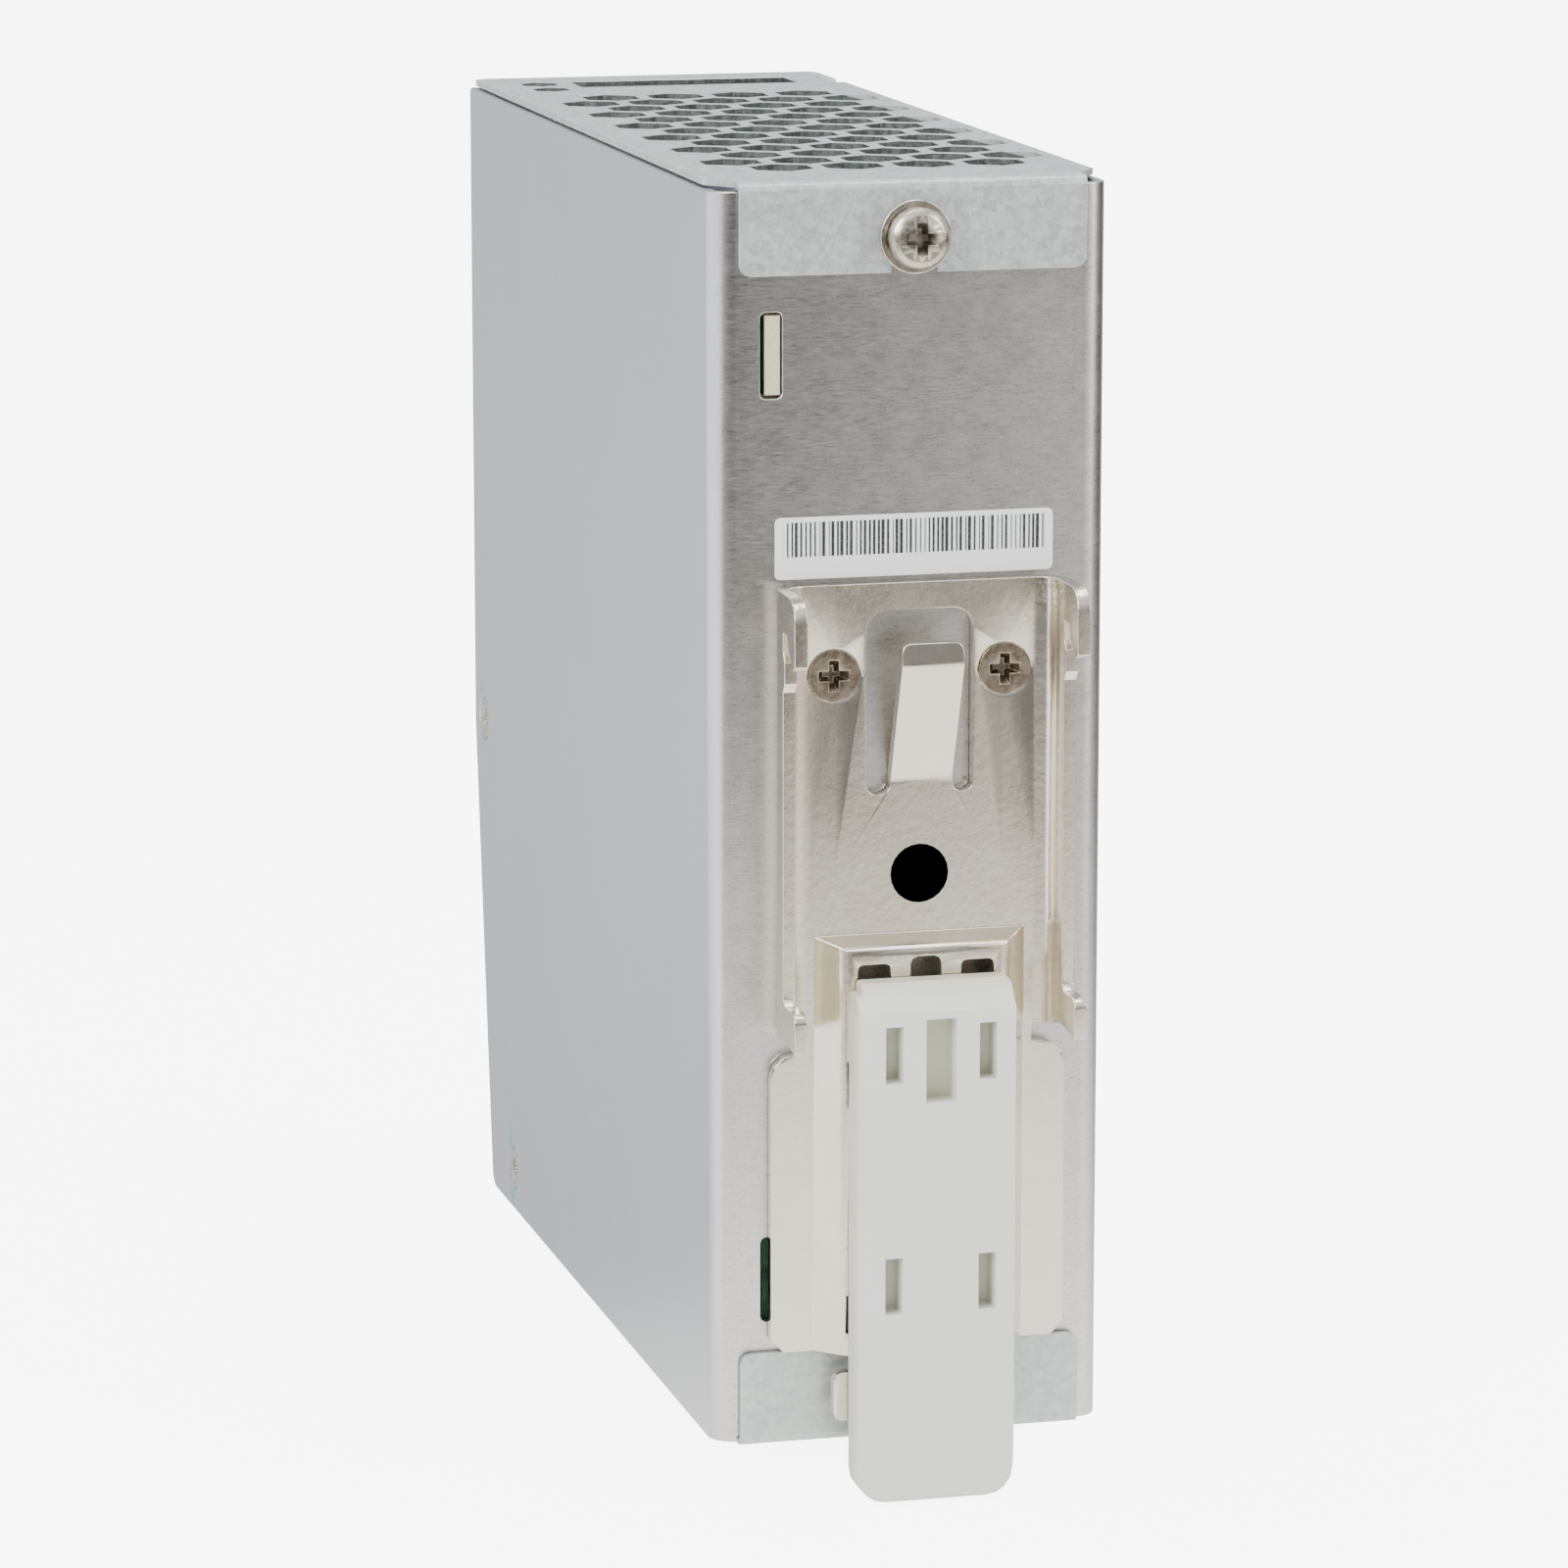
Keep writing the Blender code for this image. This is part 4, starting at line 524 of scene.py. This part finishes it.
dress(worked_copy("voltage_trimmer_body", "trimmer_housing", 0.1), inner_finishes["blue_plastic"])
dress(worked_copy("voltage_trimmer_rotor", "trimmer_rotor_cap", 0.06), inner_finishes["white_plastic"])


def lamp_lens():
    made, w, shader, placed = finish_tree("lamp_lens")
    cloud = placed(CLOUDING, Size=1.5, Contrast=0.8)[0]
    colour = w.mix(cloud, (0.03, 0.42, 0.10, 1), (0.08, 0.62, 0.18, 1))
    feed(w, shader, Base_Color=colour, Roughness=w.span(cloud, 0, 1, 0.12, 0.22), Coat_Weight=0.5)
    return made


dress(worked_copy("dc_ok_led", "lamp", 0.05, sharp=50), lamp_lens())


# ------------------------------------------------------------------------------------------ cover
# Thin galvanised sheet folded over the top, front and bottom, with a flange at each end on the rear wall.
# The zinc shows a faint spangle, and the walls of the punched hexagons are bare steel, painted dark as shade
# inside the holes.

def make_spangle():
    """Zinc crystals: a random tone for each crystal, at two sizes."""
    group, w, given, taken = effect("spangle", {"Size": 1.2, "Contrast": 1}, ("Value",))
    tones = []
    for factor in (1.0, 0.36):
        scale = w.sum("DIVIDE", 1.0, w.sum("MULTIPLY", given[0], factor))
        bent = w.node("TexNoise", {"Vector": w.place(), "Scale": 1.1, "Detail": 2.0}).outputs["Color"]
        pushed = w.node("VectorMath", {0: w.place(), 1: bent}, operation="ADD").outputs[0]
        cell = w.node("TexVoronoi", {"Vector": pushed, "Scale": scale, "Randomness": 1.0}).outputs["Color"]
        tones.append(w.node("SeparateColor", {0: cell}).outputs[0])
    blended = w.sum("ADD", w.sum("MULTIPLY", tones[0], 0.6), w.sum("MULTIPLY", tones[1], 0.4))
    centred = w.sum("MULTIPLY", w.sum("SUBTRACT", blended, 0.5), given[1])
    w.tree.links.new(w.sum("ADD", centred, 0.5, clamp=True), taken[0])
    return group


SPANGLE = make_spangle()


def galvanised_sheet():
    made, w, shader, placed = finish_tree("galvanised_sheet")
    crystal = placed(SPANGLE, Size=0.7, Contrast=1.1)[0]
    cloud = placed(CLOUDING, Size=9, Contrast=0.9, Seed=2)[0]
    grain = placed(ROLLING_GRAIN, Per_mm_X=3.0, Per_mm_Y=0.8, Per_mm_Z=3.0, Seed=1)[0]
    worn = placed(EDGE_WEAR, Amount=0.8, Patch=2)[0]
    scuffs = placed(SCUFFS, Amount=1.0, Seed=2)
    sheared = w.node("Attribute", attribute_name="sheared").outputs["Fac"]
    colour = w.mix(crystal, (0.49, 0.54, 0.53, 1), (0.70, 0.745, 0.72, 1))
    colour = w.mix(w.sum("MULTIPLY", cloud, 0.22), colour, (0.48, 0.52, 0.53, 1))
    colour = w.mix(w.sum("MULTIPLY", scuffs[1], 0.35), colour, (0.30, 0.31, 0.31, 1))
    colour = w.mix(w.sum("MULTIPLY", scuffs[0], 0.5), colour, (0.80, 0.82, 0.81, 1))
    colour = w.mix(worn, colour, (0.78, 0.79, 0.77, 1))
    # Painted shade: the hole walls are bare steel darkened almost to black.
    bare_and_shaded = w.mix(crystal, (0.05, 0.06, 0.055, 1), (0.17, 0.19, 0.18, 1))
    colour = w.mix(w.sum("MULTIPLY", sheared, 0.93), colour, bare_and_shaded)
    rough = w.sum("ADD", w.span(crystal, 0, 1, 0.36, 0.50), w.sum("MULTIPLY", cloud, 0.06))
    height = w.sum("ADD", w.sum("MULTIPLY", crystal, 0.5), grain)
    feed(w, shader, Base_Color=colour, Metallic=0.62, Roughness=rough, Normal=relief(w, height, 0.012, 0.6))
    return made


VENT_EDGE = 4.5 * MM
VENTS_HALF_WIDTH = 18.5 * MM


def vent_rim(edge):
    """True for the edges of the small punched openings, which stay sharp."""
    inboard = all(abs(vertex.co.x) < VENTS_HALF_WIDTH for vertex in edge.verts)
    return edge.calc_length() < VENT_EDGE and inboard


SHEET_DEPTH = 0.7 * MM
SHEARED_HALF_WIDTH = 17.0 * MM
FRONT_MARGIN = 2 * MM
REAR_MARGIN = 3 * MM


def mark_sheared(piece):
    """Face attribute "sheared": 1 on the walls of the holes punched through the top and bottom sheets."""
    mesh = piece.data
    mark = mesh.attributes.new("sheared", "FLOAT", "FACE")
    low, high = (Vector(corner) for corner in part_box("cover"))
    for face in mesh.polygons:
        upright = abs(face.normal.z) < 0.3
        in_sheet = face.center.z > high.z - SHEET_DEPTH or face.center.z < low.z + SHEET_DEPTH
        inboard = abs(face.center.x) < SHEARED_HALF_WIDTH
        off_folds = low.y + FRONT_MARGIN < face.center.y < -SEAT_Y * MM - REAR_MARGIN
        if upright and in_sheet and inboard and off_folds:
            mark.data[face.index].value = 1.0


cover = worked_copy("cover", "folded_cover", 0.10, spare=vent_rim)
mark_sheared(cover)
dress(cover, galvanised_sheet())


# ------------------------------------------------------------------------------------------ screws
# A pan-head screw and washer hold the cover's flange, countersunk screws hold the clip and the sides.
# All are nickel plated, with painted shade in the cross recess.

PLATED = plated_screw_finish("screw_plating", (0.50, 0.45, 0.37, 1), (0.74, 0.69, 0.60, 1))
DARK_PLATED = plated_screw_finish("clip_screw_plating", (0.22, 0.18, 0.13, 1), (0.42, 0.365, 0.29, 1))
SCREWS = {"cover_screw": ((0, 1, 0), PLATED, 2.1)}
SCREWS.update({f"clip_screw_{place}": ((0, 1, 0), DARK_PLATED, 1.9) for place in ("left", "right", "lower")})
SCREWS.update({f"side_screw_{level}_{side}": ((way, 0, 0), PLATED, 1.6)
               for level in ("upper", "lower") for side, way in (("left", 1), ("right", -1))})
for node, (axis, finish, reach) in SCREWS.items():
    screw = worked_copy(node, node + "_plated", 0.09)
    mark_recess(screw, middle_of(node), axis, reach)
    dress(screw, finish)
dress(worked_copy("cover_washer", "cover_washer_plated", 0.1), PLATED)


# ------------------------------------------------------------------------------------------ rail clip
# One thick steel stamping, bent and nickel plated, held by three screws.  It is bright but a little
# tarnished, with fine brown specks towards its top, and its outer edges were rounded by tumbling.

SPECKLED_Z = (15.5, 20.5)


def nickel_plate():
    made, w, shader, placed = finish_tree("tumbled_nickel")
    cloud = placed(CLOUDING, Size=6, Contrast=1.0, Seed=5)[0]
    fine_cloud = placed(CLOUDING, Size=0.9, Contrast=1.3, Seed=6)[0]
    grain = placed(ROLLING_GRAIN, Per_mm_X=2.2, Per_mm_Y=2.2, Per_mm_Z=1.4, Seed=2)[0]
    worn = placed(EDGE_WEAR, Amount=0.9, Patch=2.5)[0]
    scuffs = placed(SCUFFS, Amount=1.0, Seed=7)
    height_up = w.node("SeparateXYZ", {0: w.place()}).outputs["Z"]
    upward = w.span(height_up, *SPECKLED_Z)
    granules = placed(CLOUDING, Size=0.42, Contrast=1.5, Seed=11)[0]
    speckled = w.sum("MULTIPLY", w.span(granules, 0.50, 0.85), upward)
    colour = w.mix(cloud, (0.80, 0.745, 0.63, 1), (0.88, 0.835, 0.73, 1))
    colour = w.mix(w.sum("MULTIPLY", fine_cloud, 0.14), colour, (0.55, 0.50, 0.40, 1))
    colour = w.mix(w.sum("MULTIPLY", speckled, 0.55), colour, (0.24, 0.19, 0.12, 1))
    colour = w.mix(w.sum("MULTIPLY", scuffs[0], 0.6), colour, (0.86, 0.83, 0.76, 1))
    colour = w.mix(worn, colour, (0.90, 0.87, 0.80, 1))
    rough = w.sum("ADD", w.span(cloud, 0, 1, 0.16, 0.23), w.sum("MULTIPLY", speckled, 0.2))
    height = w.sum("ADD", w.sum("MULTIPLY", grain, 0.7), fine_cloud)
    feed(w, shader, Base_Color=colour, Metallic=1.0, Roughness=rough, Normal=relief(w, height, 0.010, 0.6))
    return made


def screw_rim(edge):
    """True for the edges round the clip's three screw holes, which are cut clean and not rounded."""
    return any(all(math.hypot(end.co.x - centre.x, end.co.z - centre.z) < HOLE_REACH for end in edge.verts)
               for centre in CLIP_HOLES)


HOLE_REACH = 3.4 * MM
CLIP_HOLES = [middle_of(name) for name in ("clip_screw_left", "clip_screw_right", "clip_screw_lower")]
CLIP_SPLITS = [(centre, across) for centre in CLIP_HOLES for across in ((1, 0, 0), (0, 0, 1))]
dress(worked_copy("rail_clip", "nickel_rail_clip", 0.28, steps=3, spare=screw_rim, splits=CLIP_SPLITS),
      nickel_plate())


# ------------------------------------------------------------------------------------------ latch foot
# Milky nylon slider on the clip's channel.  It is drawn down by its lower end and sprung back up.
# Inside the windows over its snap legs the nylon is painted a darker cream, a painted shade for the recess.

def milky_nylon():
    made, w, shader, placed = finish_tree("milky_nylon")
    cloud = placed(CLOUDING, Size=12, Contrast=0.7, Seed=8)[0]
    skin = placed(ROLLING_GRAIN, Per_mm_X=3.5, Per_mm_Y=3.5, Per_mm_Z=3.5, Seed=9)[0]
    worn = placed(EDGE_WEAR, Amount=0.5, Patch=3)[0]
    scuffs = placed(SCUFFS, Amount=0.6, Seed=3)
    front = w.node("SeparateXYZ", {0: w.place()}).outputs["Y"]
    inside = w.span(front, LATCH_FACE_Y - WINDOW_DEPTH, LATCH_FACE_Y - WINDOW_LIP, 1.0, 0.0)
    colour = w.mix(cloud, (0.75, 0.775, 0.71, 1), (0.805, 0.825, 0.765, 1))
    # Painted shade: faces sunk inside the windows are darkened to a deeper cream.
    colour = w.mix(w.sum("MULTIPLY", inside, 0.7), colour, (0.62, 0.60, 0.44, 1))
    colour = w.mix(worn, colour, (0.84, 0.86, 0.84, 1))
    colour = w.mix(w.sum("MULTIPLY", scuffs[1], 0.25), colour, (0.42, 0.41, 0.37, 1))
    rough = w.span(cloud, 0, 1, 0.36, 0.46)
    feed(w, shader, Base_Color=colour, Roughness=rough, Subsurface_Weight=0.25, Subsurface_Scale=0.002,
         Normal=relief(w, skin, 0.012, 0.5))
    return made


LATCH_FACE_Y = 8.8 - SEAT_Y
WINDOW_LIP = 0.9
WINDOW_DEPTH = 2.6
dress(worked_copy("latch_slider", "nylon_latch_foot", 0.22, steps=3), milky_nylon())


# ------------------------------------------------------------------------------------------ labels
# A glossy serial label with a plain bar pattern on the rear wall, and a plain rating panel on the front.
# Neither carries any lettering.

def printed_film(name, ink_mask):
    """White film with ink where ink_mask(wiring, place) is 1."""
    made, w, shader, placed = finish_tree(name)
    cloud = placed(CLOUDING, Size=7, Contrast=0.7)[0]
    mottled = placed(ROLLING_GRAIN, Per_mm_X=4, Per_mm_Y=4, Per_mm_Z=4)[0]
    scuffs = placed(SCUFFS, Amount=0.5, Seed=4)
    film = w.mix(cloud, (0.84, 0.855, 0.85, 1), (0.90, 0.91, 0.905, 1))
    printed = ink_mask(w, w.node("SeparateXYZ", {0: w.place()}).outputs)
    ink = w.sum("MULTIPLY", printed, w.span(mottled, 0.0, 0.5, 0.86, 1.0))
    colour = w.mix(ink, film, (0.022, 0.022, 0.025, 1))
    colour = w.mix(w.sum("MULTIPLY", scuffs[0], 0.3), colour, (0.75, 0.75, 0.75, 1))
    feed(w, shader, Base_Color=colour, Roughness=w.span(cloud, 0, 1, 0.34, 0.44),
         Normal=relief(w, mottled, 0.004, 0.5))
    return made


def between(w, value, limits):
    """1 where the value lies between the two limits."""
    return w.sum("MULTIPLY", w.sum("GREATER_THAN", value, limits[0]), w.sum("LESS_THAN", value, limits[1]))


def bars(w, where):
    """Upright bars of random width along the upper part of the serial label."""
    place = w.sum("DIVIDE", where["X"], BAR_PITCH)
    width = w.node("TexWhiteNoise", {"W": w.sum("FLOOR", place)}, noise_dimensions="1D").outputs["Value"]
    bar = w.sum("LESS_THAN", w.sum("FRACT", place), w.span(width, 0.0, 1.0, 0.22, 0.78))
    inside = between(w, where["X"], BARS_X)
    upper = between(w, where["Z"], BARS_Z)
    return w.sum("MULTIPLY", bar, w.sum("MULTIPLY", inside, upper))


def rating_panel(w, where):
    """Thin frame and ruled lines of a blank rating plate."""
    across = w.sum("ABSOLUTE", where["X"])
    row = w.sum("FRACT", w.sum("DIVIDE", where["Z"], RULE_PITCH))
    line = w.sum("MULTIPLY", w.sum("LESS_THAN", row, 0.06), w.sum("LESS_THAN", across, RULE_HALF_LENGTH))
    return w.sum("MAXIMUM", line, between(w, across, FRAME_LINE_X))


BAR_PITCH = 0.46
BARS_X = (-13.5, 12.9)
BARS_Z = (88.7 - RAIL_Z, 92.1 - RAIL_Z)
RULE_PITCH = 3.6
RULE_HALF_LENGTH = 13.6
FRAME_LINE_X = (14.2, 14.5)
dress(worked_copy("serial_label", "serial_label_film", 0.03, steps=1), printed_film("bar_label", bars))
dress(worked_copy("front_label", "rating_panel_film", 0.03, steps=1),
      printed_film("rating_label", rating_panel))


# ------------------------------------------------------------------------------------------ surroundings
# Plain pale floor and soft light, with the camera on the clip's side, off to +X and a little above.  The
# floor also carries the tones that the bright metal mirrors.

# Bearing in degrees from the direction the clip faces, and how bright the surroundings are there.
SURROUNDINGS = ((-180, (0.58, 0.60, 0.63)), (180, (0.58, 0.60, 0.63)), (-140, (0.60, 0.60, 0.60)),
                (-115, (0.12, 0.10, 0.08)), (-78, (0.12, 0.10, 0.08)), (-58, (0.95, 0.84, 0.78)),
                (-26, (0.85, 0.76, 0.71)), (-11, (0.13, 0.12, 0.11)), (55, (0.10, 0.085, 0.07)),
                (64, (2.4, 2.42, 2.45)), (120, (2.2, 2.22, 2.25)), (142, (0.85, 0.87, 0.90)))

# In mm: where the near floor's tone changes from front to rear, and where it fades into the ring of tones.
CASE_DEPTH_Y = (-90.0, 10.0)
NEAR_TO_FAR = (90.0, 430.0)


def pale_floor():
    """Near white to the eye; what metal mirrors of it is light close by and greyer further out."""
    made, w, shader, placed = finish_tree("pale_floor")
    cloud = placed(CLOUDING, Size=400, Contrast=0.4)[0]
    where = w.node("SeparateXYZ", {0: w.place()}).outputs
    bearing = w.sum("ADD", w.sum("DIVIDE", w.sum("ARCTAN2", where["X"], where["Y"]), 2 * math.pi), 0.5)
    ring = w.node("ValToRGB", {0: bearing})
    stops = ring.color_ramp.elements
    for index, (degrees, tone) in enumerate(SURROUNDINGS):
        stop = stops[index] if index < 2 else stops.new(1.0)
        stop.position = degrees / 360 + 0.5
        stop.color = (*tone, 1)
    reach = w.node("VectorMath", {0: w.place()}, operation="LENGTH").outputs["Value"]
    close = w.mix(w.span(where["Y"], *CASE_DEPTH_Y), (0.92, 0.94, 0.96, 1), (2.2, 2.17, 2.1, 1))
    mirrored = w.mix(w.span(reach, *NEAR_TO_FAR), close, ring.outputs["Color"])
    path = w.node("LightPath").outputs
    tone = w.mix(cloud, (0.86, 0.86, 0.86, 1), (0.90, 0.90, 0.90, 1))
    seen = path["Is Camera Ray"]
    feed(w, shader, Base_Color=w.mix(path["Is Glossy Ray"], tone, (0.0, 0.0, 0.0, 1)), Roughness=0.9,
         Specular_IOR_Level=0.0)
    glow = w.node("Emission", {"Color": w.mix(seen, mirrored, (1, 1, 1, 1)),
                               "Strength": w.sum("ADD", w.sum("MULTIPLY", seen, FLOOR_GLOW),
                                                 path["Is Glossy Ray"])})
    both = w.node("AddShader", {0: shader.outputs[0], 1: glow.outputs[0]})
    w.tree.links.new(both.outputs[0], w.tree.nodes["Material Output"].inputs["Surface"])
    return made


FLOOR_GLOW = 6.5
FLOOR_HALF = 6.0
FLOOR_STEPS = 24
FLOOR_GAP = 0.5 * MM
floor_z = cad_box[0][2] - FLOOR_GAP
spots = [FLOOR_HALF * (2 * index / FLOOR_STEPS - 1) for index in range(FLOOR_STEPS + 1)]
sweep = bmesh.new()
rows = [[sweep.verts.new((across, along, floor_z)) for across in spots] for along in spots]
for row, following in zip(rows, rows[1:]):
    for index in range(FLOOR_STEPS):
        sweep.faces.new((row[index], row[index + 1], following[index + 1], following[index]))
floor_mesh = bpy.data.meshes.new("studio_floor")
sweep.to_mesh(floor_mesh)
sweep.free()
floor_mesh.materials.append(pale_floor())
floor = bpy.data.objects.new("studio_floor", floor_mesh)
bpy.context.scene.collection.objects.link(floor)

world = bpy.data.worlds.new("soft_studio")
bpy.context.scene.world = world
world.use_nodes = True
w = Wiring(world.node_tree)
up = w.node("SeparateXYZ", {0: w.node("TexCoord").outputs["Generated"]}).outputs["Z"]
sky = w.mix(w.span(up, 0.0, 0.65), (0.20, 0.205, 0.21, 1), (1.1, 1.12, 1.15, 1))
seen = w.node("LightPath").outputs["Is Camera Ray"]
backdrop = world.node_tree.nodes["Background"]
world.node_tree.links.new(w.mix(seen, sky, (5.0, 5.0, 5.0, 1)), backdrop.inputs["Color"])


def softbox(name, place, size, power):
    """Area light at the place, turned to the origin."""
    lamp = bpy.data.lights.new(name, "AREA")
    lamp.shape = "RECTANGLE"
    lamp.size, lamp.size_y = size
    lamp.energy = power
    made = bpy.data.objects.new(name, lamp)
    made.location = place
    made.rotation_euler = (-Vector(place)).to_track_quat("-Z", "Y").to_euler()
    bpy.context.scene.collection.objects.link(made)


softbox("key_softbox", (0.75, 0.55, 0.55), (0.5, 0.6), 10.0)
softbox("fill_softbox", (-0.80, 0.60, 0.35), (0.35, 0.7), 5.0)
softbox("top_softbox", (0.0, -0.1, 0.9), (0.7, 0.7), 6.5)

CAMERA_TURN = math.radians(-14.34)
CAMERA_TILT = math.radians(11.19)
CAMERA_PLACE = (0.1727, 0.6202, 0.1293)
camera_data = bpy.data.cameras.new("camera")
camera_data.sensor_width = 36.0
camera_data.lens = 154.7
camera_data.clip_start = 0.01
camera = bpy.data.objects.new("camera", camera_data)
level = math.cos(CAMERA_TILT)
look = Vector((math.sin(CAMERA_TURN) * level, -math.cos(CAMERA_TURN) * level, -math.sin(CAMERA_TILT)))
camera.location = CAMERA_PLACE
camera.rotation_euler = look.to_track_quat("-Z", "Y").to_euler()
bpy.context.scene.collection.objects.link(camera)
bpy.context.scene.camera = camera
